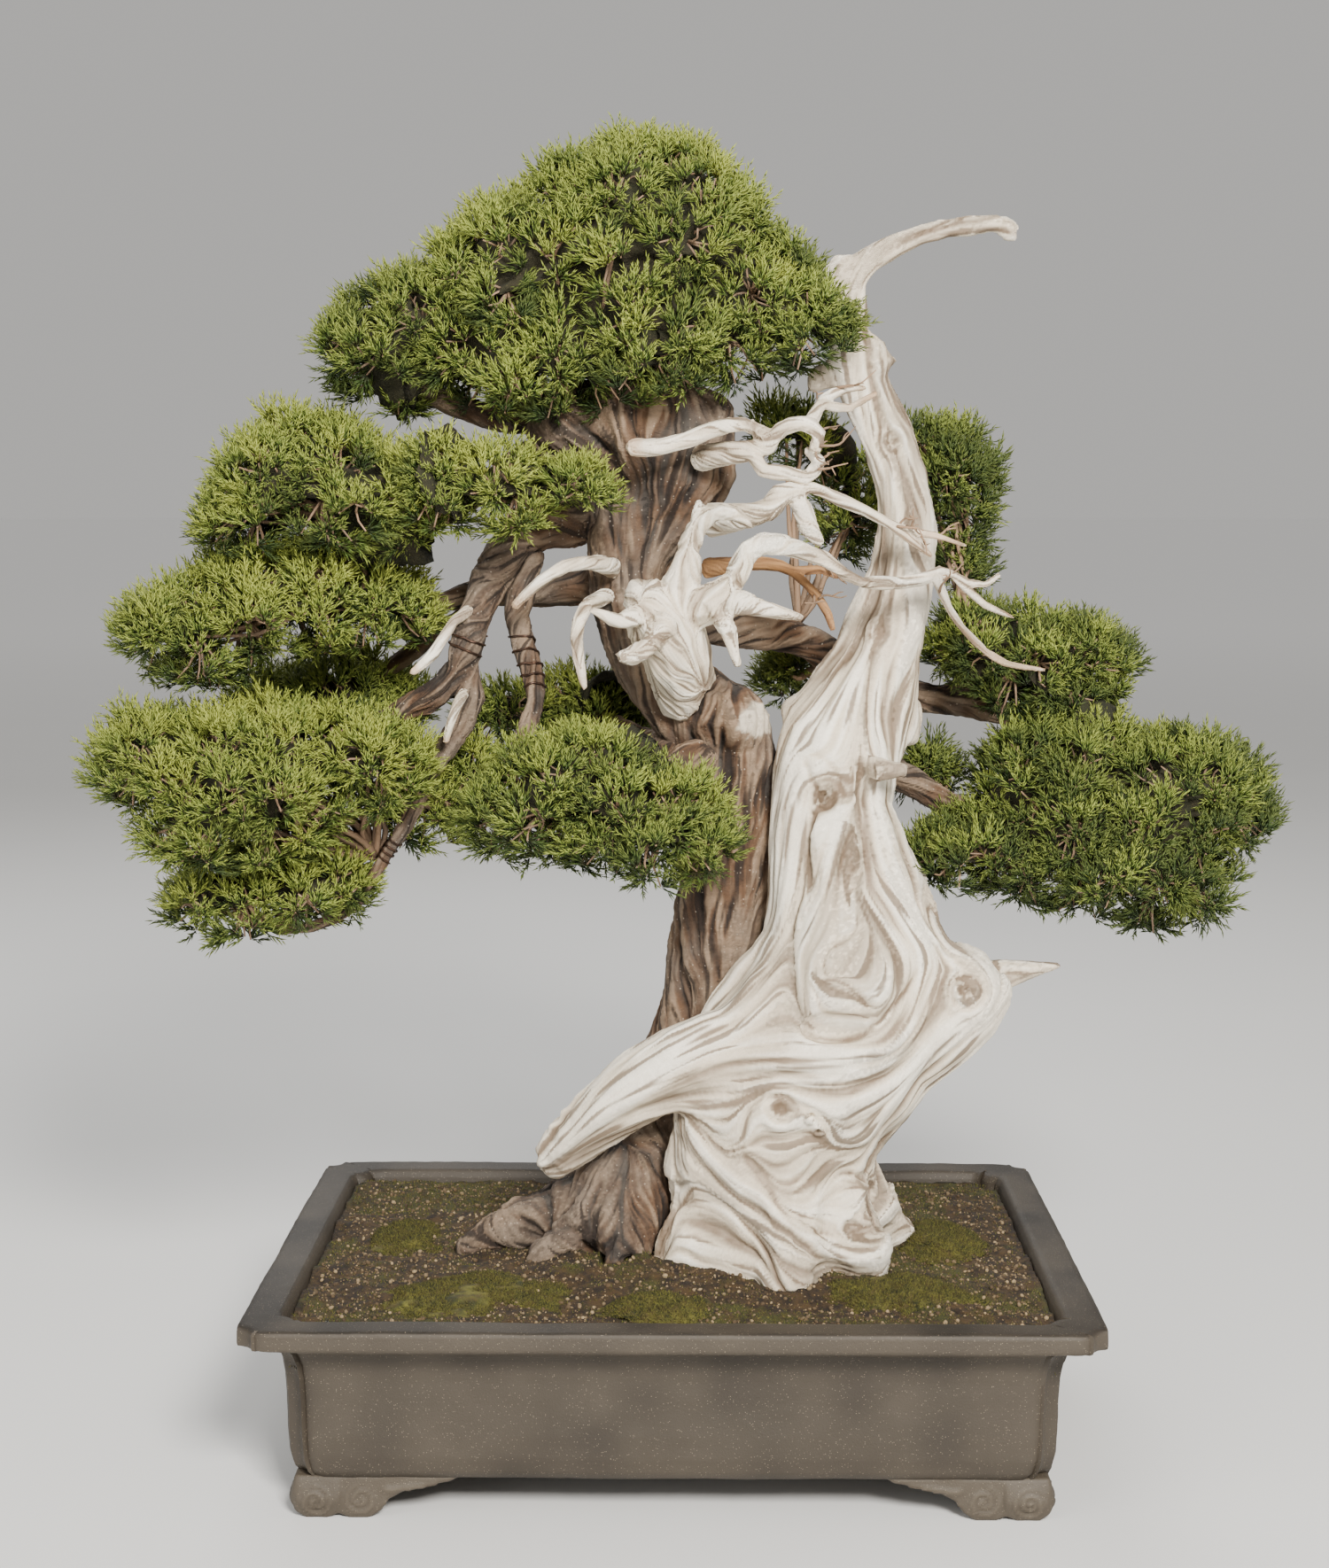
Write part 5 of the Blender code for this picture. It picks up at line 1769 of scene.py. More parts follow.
@dataclass
class Pot:
    """The fired pot: walls with a lipped rim, floor with its holes, and scroll feet.

    Attributes:
        node: The node it stands for.
        notch: Size of the step in each corner.
        around: Points round the wall.
        foot_height: Height of the feet.
        foot_inset: Distance of the feet in from the rim's edge.
        drain_radius: Radius of a drain hole.
        profile: The wall as (distance in from the rim's edge, share of the pot's height).
    """

    node: str = "pot"
    notch: float = 0.016
    around: int = 420
    foot_height: float = 0.0285
    foot_inset: float = 0.036
    drain_radius: float = 0.015
    profile: tuple[tuple[float, float], ...] = (
        (0.0400, 0.195), (0.0358, 0.205), (0.0325, 0.240), (0.0303, 0.310), (0.0294, 0.420), (0.0290, 0.580),
        (0.0282, 0.700), (0.0268, 0.775), (0.0238, 0.835), (0.0195, 0.868), (0.0150, 0.884), (0.0100, 0.890),
        (0.0024, 0.896), (0.0004, 0.904), (0.0000, 0.918), (0.0000, 0.975), (0.0006, 0.990), (0.0024, 0.999),
        (0.0050, 1.000), (0.0225, 1.000), (0.0250, 0.996), (0.0268, 0.984), (0.0290, 0.955), (0.0350, 0.700),
        (0.0415, 0.390), (0.0440, 0.330), (0.0520, 0.280))

    def build(self, finish: Material) -> None:
        """Makes the walls and the feet.

        Args:
            finish: The material.
        """
        low, high = node_box(self.node)
        middle = (low + high) / 2
        half_x, half_y = (high[0] - low[0]) / 2, (high[1] - low[1]) / 2
        rings = []
        outline = np.array(self.profile)
        lengths = np.concatenate([[0.0], np.cumsum(np.hypot(*np.diff(outline * (1.0, high[2]), axis=0).T))])
        spots = np.unique(np.concatenate([lengths, np.linspace(0, lengths[-1], 70)]))
        for spot in spots:
            inset = float(np.interp(spot, lengths, outline[:, 0]))
            height = float(np.interp(spot, lengths, outline[:, 1])) * high[2]
            plan = notched_plan(half_x - inset, half_y - inset, self.notch, self.around)
            rings.append(np.column_stack([plan + middle[:2], np.full(self.around, height)]))
        mesh = skin(rings, "pot_walls")
        points, normals = read_points(mesh), read_normals(mesh)
        shift = 0.0005 * lumps(points, 0.05, 3) + 0.00025 * lumps(points, 0.009, 4)
        write_points(mesh, points + normals * shift[:, None])
        for share, radius in ((0.4333, self.drain_radius), (0.2167, 0.003)):
            for sign in (-1, 1):
                mesh = self.bored(mesh, middle[0] + sign * share * half_x, middle[1], radius)
        mesh.shade_smooth()
        mesh = evaluated(mesh, ("EDGE_SPLIT", {"split_angle": math.radians(50)}))
        points, normals = read_points(mesh), read_normals(mesh)
        # Painted shade: the rim's up-facing top, the inner walls and the band under the rim's lip are painted
        # darker, towards the clay's accent colour.
        inward = np.abs(points[:, 0] - middle[0]) / half_x < 0.93
        inward &= np.abs(points[:, 1] - middle[1]) / half_y < 0.90
        pot_painted_shade = np.maximum(ramp(normals[:, 2], 0.3, 0.8) * (points[:, 2] > 0.5 * high[2]), 0.7 * inward)
        pot_painted_shade = np.maximum(pot_painted_shade, 0.5 * ramp(points[:, 2], 0.885 * high[2], 0.905 * high[2]))
        paint(mesh, "tone", np.clip(pot_painted_shade * (0.85 + 0.3 * lumps(points, 0.03, 8)), 0, 1))
        add_piece("pot_walls", mesh, finish, (self.node,))
        self.build_feet(finish, low, high)

    def bored(self, mesh: Mesh, x: float, y: float, radius: float) -> Mesh:
        """Bores an upright hole through the floor.

        Args:
            mesh: The mesh.
            x: The hole's x.
            y: The hole's y.
            radius: Its radius.

        Returns:
            The bored mesh.
        """
        turns = np.linspace(0, 2 * math.pi, 32, endpoint=False)
        circle = np.column_stack([x + radius * np.cos(turns), y + radius * np.sin(turns)])
        tool = skin([np.column_stack([circle, np.full(32, height)]) for height in (0.0, 0.06)], "bore")
        cutter = show("bore", tool)
        settings = {"operation": "DIFFERENCE", "object": cutter, "solver": "EXACT"}
        result = evaluated(mesh, ("BOOLEAN", settings))
        bpy.data.objects.remove(cutter, do_unlink=True)
        return result

    def build_feet(self, finish: Material, low: Array, high: Array) -> None:
        """Makes the scroll feet, with their spirals in relief.

        Args:
            finish: The material.
            low: The lowest corner of the node's box.
            high: The highest corner of the node's box.
        """
        work = bmesh.new()
        work.from_mesh(node_mesh(self.node))
        bmesh.ops.bisect_plane(work, geom=[*work.verts, *work.edges, *work.faces], plane_no=(0, 0, 1),
                               plane_co=(0, 0, self.foot_height + 0.0025), clear_outer=True)
        middle = (low + high) / 2
        keep = (high - low) / 2 - self.foot_inset - 0.125
        drop = [face for face in work.faces
                if abs(face.calc_center_median().x - middle[0]) < keep[0] + 0.004
                and abs(face.calc_center_median().y - middle[1]) < keep[1] + 0.004]
        bmesh.ops.delete(work, geom=drop, context="FACES")
        bmesh.ops.holes_fill(work, edges=[edge for edge in work.edges if edge.is_boundary])
        plain = bpy.data.meshes.new("feet")
        work.to_mesh(plain)
        work.free()
        mesh = evaluated(plain, ("REMESH", {"mode": "VOXEL", "voxel_size": 0.0019}),
                         ("SMOOTH", {"factor": 0.5, "iterations": 4}))
        points, normals = read_points(mesh), read_normals(mesh)
        away = points - middle
        half = (high - low) / 2 - self.foot_inset
        raised = np.zeros(len(points))
        for axis, other in ((0, 1), (1, 0)):
            outer = (np.abs(away[:, other]) > half[other] - 0.004) & (np.abs(normals[:, other]) > 0.6)
            along = half[axis] - np.abs(away[:, axis])
            height = points[:, 2]
            relief = np.zeros(len(points))
            for centre, level, size, way in ((0.0140, 0.0125, 0.0125, 1.0), (0.0460, 0.0135, 0.0125, -1.0)):
                across, rise = along - centre, height - level
                reach = np.hypot(across, rise)
                angle = np.arctan2(rise, way * across) / (2 * math.pi)
                wave = np.cos(2 * math.pi * (reach / 0.0052 - angle))
                relief = np.maximum(relief, ramp(wave, -0.2, 0.7) * ramp(reach, size, size * 0.8))
            slant = height - 0.021 - 0.06 * (along - 0.06)
            tail = ramp(along, 0.058, 0.066) * np.cos(slant / 0.0052 * math.pi)
            relief = np.maximum(relief, ramp(tail, 0.1, 0.8) * ramp(along, 0.104, 0.096))
            raised = np.where(outer, relief, raised)
        write_points(mesh, points + normals * (0.0014 * raised + 0.0002 * lumps(points, 0.006, 6))[:, None])
        mesh.shade_smooth()
        # Painted shade: the ground between the raised spirals is painted darker than the spirals.
        paint(mesh, "tone", 0.25 * (1 - raised))
        add_piece("pot_feet", mesh, finish, (self.node,))


@dataclass
class Soil:
    """The soil's rough surface, and its crumbs and pebbles.

    Attributes:
        node: The node it stands for.
        rings: Rings from the wall to the trunk.
        around: Points in a ring.
        crumbs: Number of crumbs and pebbles.
        fuzz: Number of moss shoots tried over the soil.
    """

    node: str = "soil"
    rings: int = 110
    around: int = 420
    crumbs: int = 9000
    fuzz: int = 72000

    def heights(self, spots: Array) -> Array:
        """The node's top surface over some places, n by 2.

        Args:
            spots: Places, n by 2.

        Returns:
            A height for each place.
        """
        mesh = node_mesh(self.node)
        tree = bvh_of(mesh)
        low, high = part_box(self.node)
        result = np.empty(len(spots))
        for i, (x, y) in enumerate(spots):
            hit = tree.ray_cast(Vector((x, y, high.z + 0.05)), Vector((0, 0, -1)))[0]
            result[i] = hit.z if hit and hit.z > low.z + 0.5 * (high.z - low.z) else np.nan
        fallback = np.nanmin(result)
        return np.where(np.isnan(result), fallback, result)

    def rough(self, spots: Array) -> Array:
        """How far the soil rises or sinks from smooth.

        Args:
            spots: Places, n by 2.

        Returns:
            A height for each place.
        """
        flat = np.column_stack([spots, np.zeros(len(spots))])
        return (0.0026 * lumps(flat, 0.030, 11) + 0.0018 * lumps(flat, 0.012, 12)
                + 0.0012 * lumps(flat, 0.0055, 13) + 0.0007 * lumps(flat, 0.0028, 14))

    def cover(self, points: Array) -> Array:
        """How mossy the soil is at each place, 0 to 1.

        Args:
            points: Vertices, n by 3.

        Returns:
            One share for each place.
        """
        flat = points * (1.0, 1.0, 0.0)
        patch = 0.6 * lumps(flat, 0.060, 61) + 0.5 * lumps(flat, 0.022, 62) + 0.3 * lumps(flat, 0.009, 63)
        return 0.9 * ramp(patch, -0.15, 0.45)

    def build_fuzz(self, half: Array, middle: Array, moss: Material) -> None:
        """Grows short moss over the mossy parts of the soil.

        Args:
            half: Half the soil's size.
            middle: The soil's middle.
            moss: The moss's material.
        """
        dice = default_rng(23)
        spots = dice.uniform(-1, 1, (self.fuzz, 2)) * (half[:2] - 0.003) + middle[:2]
        mossy = self.cover(np.column_stack([spots, np.zeros(len(spots))]))
        spots = spots[dice.random(len(spots)) < 0.15 + 0.85 * mossy]
        lines = (np.linspace(-1, 1, 90) * half[0] + middle[0], np.linspace(-1, 1, 70) * half[1] + middle[1])
        grid = self.heights(np.stack(np.meshgrid(*lines), axis=-1).reshape(-1, 2))
        column = np.clip(((spots[:, 0] - middle[0]) / half[0] + 1) * 44.5, 0, 89).round().astype(int)
        row = np.clip(((spots[:, 1] - middle[1]) / half[1] + 1) * 34.5, 0, 69).round().astype(int)
        feet = np.column_stack([spots, grid[row * 90 + column] + self.rough(spots) - 0.0004])
        mesh = moss_shoots(feet, np.tile(UP, (len(feet), 1)), dice)
        add_piece("soil_moss_fuzz", mesh, moss)

    def build(self, finish: Material, grit: Material, moss: Material) -> None:
        """Makes the surface, its crumbs and its short moss.

        Args:
            finish: The material.
            grit: The crumbs' material.
            moss: The moss's material.
        """
        low, high = node_box(self.node)
        middle = (low + high) / 2
        half = (high - low) / 2
        outline = notched_plan(half[0] - 0.0005, half[1] - 0.0005, 0.016, self.around)
        shares = np.linspace(1.0, 0.02, self.rings)
        spots = np.vstack([middle[:2] + outline * share for share in shares])
        level = self.heights(spots) + self.rough(spots)
        rings = [np.column_stack([middle[:2] + outline * 0.985, np.full(self.around, low[2])])]
        rings += [np.column_stack([spots[i * self.around:(i + 1) * self.around],
                                   level[i * self.around:(i + 1) * self.around]]) for i in range(self.rings)]
        mesh = skin(rings, "soil_surface")
        mesh.shade_smooth()
        points = read_points(mesh)
        mottle = 0.5 + 0.8 * lumps(points, 0.0035, 64) + 0.5 * lumps(points, 0.010, 65)
        paint(mesh, "tone", np.clip(self.cover(points) * mottle * 1.4, 0, 1))
        add_piece("soil_surface", mesh, finish, (self.node,))
        self.build_fuzz(half, middle, moss)
        dice = default_rng(17)
        places = dice.uniform(-1, 1, (self.crumbs, 2)) * (half[:2] - 0.006)
        places = places[~np.all(np.abs(places) > half[:2] - 0.022, axis=1)]
        places = places + middle[:2]
        tops = self.heights(places) + self.rough(places)
        sizes = 0.0007 + 0.0016 * dice.random(len(places)) ** 4
        centres = np.column_stack([places, tops + 0.2 * sizes])
        mesh = pebbles(centres, sizes, dice, "soil_crumbs")
        add_piece("soil_crumbs", mesh, grit)


def moss_shoots(feet: Array, normals: Array, dice: Generator) -> Mesh:
    """Short pointed moss shoots, one on each foot.

    Args:
        feet: Where they stand, n by 3.
        normals: Which way is out, n by 3.
        dice: Random numbers.

    Returns:
        The mesh.
    """
    count = len(feet)
    heading = unit(normals + dice.normal(scale=0.5, size=(count, 3)))
    side = unit(np.cross(heading, dice.normal(size=heading.shape)))
    other = np.cross(heading, side)
    width = 0.00036
    ring = [feet + width * (math.cos(a) * side + math.sin(a) * other) for a in (0.0, 2.094, 4.189)]
    tips = feet + heading * dice.uniform(0.0012, 0.0032, (count, 1))
    vertices = np.stack([*ring, tips], axis=1).reshape(-1, 3)
    first = 4 * np.arange(count)[:, None]
    faces = np.vstack([first + np.array(face) for face in ((0, 1, 3), (1, 2, 3), (2, 0, 3))])
    mesh = mesh_of("shoots", vertices, faces)
    paint(mesh, "tone", np.repeat(np.clip(0.40 + 0.5 * dice.normal(size=count), 0, 1), 4))
    return mesh


def bvh_of(mesh: Mesh) -> BVHTree:
    """A tree for casting rays at a mesh.

    Args:
        mesh: The mesh.

    Returns:
        The tree.
    """
    work = bmesh.new()
    work.from_mesh(mesh)
    tree = BVHTree.FromBMesh(work)
    work.free()
    return tree


def pebbles(centres: Array, sizes: Array, dice: Generator, name: str) -> Mesh:
    """Small uneven stones as one mesh, each with its own tone.

    Args:
        centres: Their places, n by 3.
        sizes: Their radii.
        dice: Random numbers.
        name: The mesh's name.

    Returns:
        The mesh.
    """
    work = bmesh.new()
    bmesh.ops.create_icosphere(work, subdivisions=1, radius=1.0)
    ball = np.array([vertex.co for vertex in work.verts])
    faces = np.array([[vertex.index for vertex in face.verts] for face in work.faces])
    work.free()
    points, corners, tones = [], [], []
    for i, (centre, size) in enumerate(zip(centres, sizes)):
        turn = np.linalg.qr(dice.normal(size=(3, 3)))[0]
        stretch = dice.uniform(0.6, 1.15, 3)
        rough = 1 + 0.22 * lumps(ball * 0.6 + i * 3.7, 0.5, 21)
        points.append(centre + size * ((ball * rough[:, None] * stretch) @ turn))
        corners.append(faces + i * len(ball))
        tones.append(np.full(len(ball), dice.random() ** 2.5))
    mesh = mesh_of(name, np.vstack(points), np.vstack(corners))
    paint(mesh, "tone", np.concatenate(tones))
    return mesh


@dataclass
class MossPatch:
    """A cushion of moss with its fine shoots.

    Attributes:
        node: The node it stands for.
        shoots: Shoots to the square metre.
        seed: Its own random numbers.
    """

    node: str
    shoots: float = 1500000.0
    seed: int = 0

    def build(self, finish: Material) -> None:
        """Makes the cushion and its shoots.

        Args:
            finish: The material.
        """
        dice = default_rng(self.seed)
        plain = node_mesh(self.node)
        mesh = evaluated(plain, ("REMESH", {"mode": "VOXEL", "voxel_size": 0.0013}),
                         ("SMOOTH", {"factor": 0.5, "iterations": 6}))
        points, normals = read_points(mesh), read_normals(mesh)
        rise = (0.0022 * lumps(points, 0.020, self.seed) + 0.0014 * lumps(points, 0.008, self.seed + 1)
                + 0.0006 * lumps(points, 0.0030, self.seed + 2) - 0.0012)
        points = points + normals * rise[:, None]
        low, high = span(points)
        share = (points - (low + high) / 2) / ((high - low) / 2)
        reach = np.hypot(share[:, 0], share[:, 1]) + 0.15 * lumps(points, 0.018, 9)
        points[:, 2] -= 0.0075 * ramp(reach, 0.45, 1.0)
        write_points(mesh, points)
        mesh.shade_smooth()
        mottle = 0.30 + 0.45 * lumps(points, 0.014, 31) + 0.55 * lumps(points, 0.0040, 32)
        paint(mesh, "tone", np.clip(mottle, 0, 1))
        add_piece(f"{self.node}_cushion", mesh, finish, (self.node,))
        normals = read_normals(mesh)
        area = math.pi * (high[0] - low[0]) * (high[1] - low[1]) / 4
        top = np.nonzero(normals[:, 2] > 0.2)[0]
        chosen = dice.choice(top, min(len(top) * 4, int(area * self.shoots)))
        feet = points[chosen] + dice.normal(scale=(0.0006, 0.0006, 0.0002), size=(len(chosen), 3))
        shoots = moss_shoots(feet, normals[chosen], dice)
        add_piece(f"{self.node}_shoots", shoots, finish, (self.node,))


@dataclass
class Twiglets:
    """Fine dry twigs at the far end of a dead branch.

    Attributes:
        node: The node of the branch.
        count: Number of twigs.
        length: The longest twig, in metres.
        seed: Its own random numbers.
    """

    node: str
    count: int = 7
    length: float = 0.024
    seed: int = 0

    def build(self, finish: Material) -> None:
        """Makes the twigs.

        Args:
            finish: The material.
        """
        dice = default_rng(self.seed)
        wood = read_points(bpy.data.objects[f"{self.node}_wood"].data)
        low, high = span(wood)
        outer = wood[wood[:, 0] > low[0] + 0.72 * (high[0] - low[0])]
        tubes = Tubes(sides=6)
        for foot in outer[dice.choice(len(outer), self.count, replace=False)]:
            heading = unit(np.array((0.9, -0.25, 0.1)) + dice.normal(scale=0.6, size=3))
            length = self.length * dice.uniform(0.45, 1.0)
            bends = np.cumsum(dice.normal(scale=0.12 * length, size=(4, 3)), axis=0)
            line = smooth_line(foot + heading * np.linspace(0, length, 4)[:, None] + bends - bends[0], 9)
            tubes.add(line, np.linspace(0.0011, 0.0004, 9), dice.random())
            fork = unit(heading + dice.normal(scale=0.7, size=3)) * 0.4 * length
            side = smooth_line(np.vstack([line[4], line[4] + 0.5 * fork + dice.normal(scale=0.001, size=3),
                                          line[4] + fork]), 6)
            tubes.add(side, np.linspace(0.0008, 0.0003, 6), dice.random())
        add_piece(f"{self.node}_twiglets", tubes.mesh(self.node), finish)


@dataclass
class DrainScreen:
    """A square of plastic mesh over a drain hole.

    Attributes:
        node: The node it stands for.
        strands: Strands each way.
    """

    node: str
    strands: int = 18

    def build(self, finish: Material) -> None:
        """Makes the crossing strands.

        Args:
            finish: The material.
        """
        low, high = node_box(self.node)
        thick = (high[2] - low[2]) / 4
        tubes = Tubes(sides=5)
        for axis in (0, 1):
            level = low[2] + thick * (1.2 if axis == 0 else 2.8)
            for share in np.linspace(0.03, 0.97, self.strands):
                line = np.zeros((8, 3))
                line[:, axis] = low[axis] + share * (high[axis] - low[axis])
                line[:, 1 - axis] = np.linspace(low[1 - axis], high[1 - axis], 8)
                line[:, 2] = level
                tubes.add(line, np.full(8, thick))
        add_piece(f"{self.node}_strands", tubes.mesh(self.node), finish, (self.node,))


@dataclass
class WireCoil:
    """A coil of training wire round a branch.

    Attributes:
        node: The node it stands for.
        branch: The node of the branch it is wound on.
        lift: Height of its centre line over the bark, in metres.
    """

    node: str
    branch: str
    lift: float = 0.0007

    def build(self, finish: Material) -> None:
        """Makes the coil.

        Args:
            finish: The material.
        """
        mesh = evaluated(node_mesh(self.node), ("SUBSURF", {"levels": 2}))
        branch = bpy.data.objects[f"{self.branch}_wood"].data
        tree = bvh_of(branch)
        points = read_points(mesh)
        drops, ways = np.empty(len(points)), np.empty_like(points)
        for i, point in enumerate(points):
            spot = np.array(tree.find_nearest(Vector(point))[0])
            drops[i] = np.linalg.norm(spot - point)
            ways[i] = spot - point
        ways = unit(ways)
        near = ((points[:, None] - points[None]) ** 2).sum(axis=2) < 0.0028**2
        share = near.sum(axis=1)
        drop = (near @ drops) / share - self.lift
        write_points(mesh, points + unit(near @ ways) * np.maximum(drop, 0)[:, None])
        mesh.shade_smooth()
        add_piece(f"{self.node}_coil", mesh, finish, (self.node,))


# Studio

@dataclass(frozen=True)
class Lamp:
    """A soft square lamp aimed at the middle of the tree.

    Attributes:
        name: Its name.
        place: Where it stands.
        side: Its size.
        power: Its power in watts.
        colour: Its colour.
    """

    name: str
    place: tuple[float, float, float]
    side: float
    power: float
    colour: Colour = (1.0, 1.0, 1.0)

    def build(self) -> None:
        """Makes the lamp."""
        light = bpy.data.lights.new(self.name, "AREA")
        light.shape = "SQUARE"
        light.size = self.side
        light.energy = self.power
        light.color = self.colour
        lamp = show(self.name, light)
        lamp.location = self.place
        lamp.rotation_euler = (Vector((0, 0, 0.45)) - Vector(self.place)).to_track_quat("-Z", "Y").to_euler()
        lamp.visible_camera = False


@dataclass(frozen=True)
class Studio:
    """A wide pale floor, soft lamps and the camera.

    Attributes:
        lamps: The lamps.
        sky: Strength of the light from all round.
        floor_reach: How far the floor goes, in metres.
        camera: The camera's place.
        down: How far the camera looks down, in degrees.
        turn: How far it is turned to the left, in degrees.
        focal: Its focal length in millimetres, on a sensor 36 mm high.
    """

    lamps: tuple[Lamp, ...] = (
        Lamp("key", (0.8, -2.9, 2.1), 0.8, 256.0, (1.0, 0.965, 0.91)),
        Lamp("fill", (-2.3, -2.2, 1.6), 2.2, 40.0, (1.0, 0.99, 0.97)),
        Lamp("rim", (-0.6, 2.3, 2.6), 1.6, 45.0),
    )
    sky: float = 0.50
    floor_reach: float = 200.0
    camera: tuple[float, float, float] = (0.0072, -1.8806, 0.7036)
    down: float = 6.248
    turn: float = 0.7232
    focal: float = 57.54

    def build(self) -> None:
        """Makes the studio."""
        for lamp in self.lamps:
            lamp.build()
        self.build_floor()
        world = bpy.data.worlds.new("studio")
        world.use_nodes = True
        world.node_tree.nodes["Background"].inputs["Color"].default_value = (1.0, 0.98, 0.95, 1.0)
        world.node_tree.nodes["Background"].inputs["Strength"].default_value = self.sky
        bpy.context.scene.world = world
        data = bpy.data.cameras.new("camera")
        data.sensor_fit = "VERTICAL"
        data.sensor_height = 36.0
        data.lens = self.focal
        camera = show("camera", data)
        camera.location = self.camera
        camera.rotation_euler = (math.radians(90 - self.down), 0.0, math.radians(self.turn))
        bpy.context.scene.camera = camera

    def build_floor(self) -> None:
        """Makes the floor."""
        level = float(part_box("pot")[0].z)
        turns = np.linspace(0, 2 * math.pi, 96, endpoint=False)
        reach = np.geomspace(0.0005, self.floor_reach, 60)
        points = np.array([(r * math.cos(a), r * math.sin(a), level) for r in reach for a in turns])
        faces = np.array([(i * 96 + k, (i + 1) * 96 + k, (i + 1) * 96 + (k + 1) % 96, i * 96 + (k + 1) % 96)
                          for i in range(len(reach) - 1) for k in range(96)])
        mesh = mesh_of("floor", points, faces)
        material, shader, sheet = new_material("pale_floor", 0.85)
        place = sheet.put("ShaderNodeTexCoord").outputs["Object"]
        cloud = sheet.put("ShaderNodeTexNoise", Vector=place, Scale=2.0, Detail=2.0)
        near = sheet.mix(cloud.outputs[0], (0.70, 0.70, 0.69), (0.73, 0.73, 0.72))
        away = sheet.put("ShaderNodeVectorMath", {"operation": "LENGTH"}, Vector=place).outputs["Value"]
        # Painted light: the floor is painted lighter from 2.2 m to 14 m away, making up for the lamps' light
        # falling off.
        colour = sheet.mix(sheet.steps(away, 2.2, 14.0), near, (0.97, 0.97, 0.97))
        sheet.tree.links.new(colour, shader.inputs["Base Color"])
        mesh.materials.append(material)
        show("floor", mesh)


# The whole tree

CROWN_CUT = ((0.076, 0.885), (0.135, 0.815))
FINE_GRAIN = (Carving(0.0075, 0.0009, 0.10), Carving(0.0035, 0.0005, 0.07), Carving(0.0018, 0.00025, 0.05))
DEADWOOD_GUIDES = (
    Guide(((0.02, 0.20), (0.13, 0.26), (0.28, 0.30), (0.39, 0.34), (0.46, 0.41), (0.48, 0.48), (0.53, 0.54),
           (0.62, 0.65), (0.65, 0.76), (0.60, 0.85)), reach=0.030),
    Guide(((0.03, 0.18), (0.16, 0.23), (0.33, 0.27), (0.49, 0.28), (0.66, 0.29), (0.75, 0.32), (0.83, 0.36)),
          reach=0.026, crease=-0.003, width=0.008),
    Guide(((0.16, 0.21), (0.31, 0.24), (0.49, 0.25), (0.66, 0.26), (0.74, 0.29), (0.79, 0.32)), reach=0.022,
          crease=0.002, width=0.004, dark=0.25),
    Guide(((0.84, 0.35), (0.78, 0.36), (0.70, 0.39), (0.66, 0.44), (0.65, 0.50), (0.63, 0.58), (0.66, 0.65)),
          reach=0.020),
    Guide(((0.56, 0.46), (0.53, 0.40), (0.50, 0.36), (0.52, 0.31), (0.60, 0.30), (0.67, 0.31), (0.69, 0.36),
           (0.63, 0.41)), reach=0.020),
    Guide(((0.52, 0.345), (0.56, 0.347), (0.60, 0.335), (0.625, 0.32)), reach=0.006, crease=0.0035,
          width=0.0030, dark=0.8),
    Guide(((0.54, 0.298), (0.59, 0.300), (0.64, 0.312), (0.69, 0.335), (0.72, 0.36)), reach=0.010,
          crease=0.0035, width=0.0030, dark=0.7),
    Guide(((0.24, 0.21), (0.33, 0.17), (0.44, 0.14), (0.58, 0.11), (0.68, 0.12)), reach=0.018,
          crease=0.0028, width=0.0045, dark=0.4),
    Guide(((0.66, 0.15), (0.66, 0.19), (0.69, 0.23), (0.78, 0.29)), reach=0.020, crease=0.002, width=0.005,
          dark=0.2),
    Guide(((0.23, 0.10), (0.25, 0.14), (0.34, 0.145), (0.41, 0.12), (0.46, 0.09)), reach=0.012,
          crease=0.0028, width=0.0035, dark=0.5),
    Guide(((0.38, 0.195), (0.40, 0.235), (0.46, 0.245), (0.53, 0.23), (0.57, 0.20), (0.66, 0.19)),
          reach=0.012, crease=0.0022, width=0.0035, dark=0.35),
    Guide(((0.38, 0.20), (0.43, 0.17), (0.49, 0.135), (0.62, 0.115)), reach=0.010, crease=0.0030,
          width=0.0035, dark=0.6),
    Guide(((0.53, 0.155), (0.58, 0.172), (0.65, 0.155), (0.64, 0.13), (0.57, 0.125)), reach=0.010,
          crease=0.0022, width=0.0035, dark=0.35),
    Guide(((0.60, 0.85), (0.61, 0.93), (0.70, 0.965), (0.85, 0.985), (0.97, 0.985)), reach=0.020),
    Guide(((0.505, 0.535), (0.515, 0.515), (0.54, 0.492), (0.57, 0.498)), reach=0.008, crease=0.0022,
          width=0.0028, dark=0.5),
    Guide(((0.505, 0.535), (0.53, 0.535), (0.565, 0.520), (0.575, 0.500)), reach=0.008, crease=0.0016,
          width=0.0025, dark=0.35),
    Guide(((0.02, 0.155), (0.10, 0.175), (0.20, 0.205)), reach=0.012, crease=0.0030, width=0.0040, dark=0.5),
)
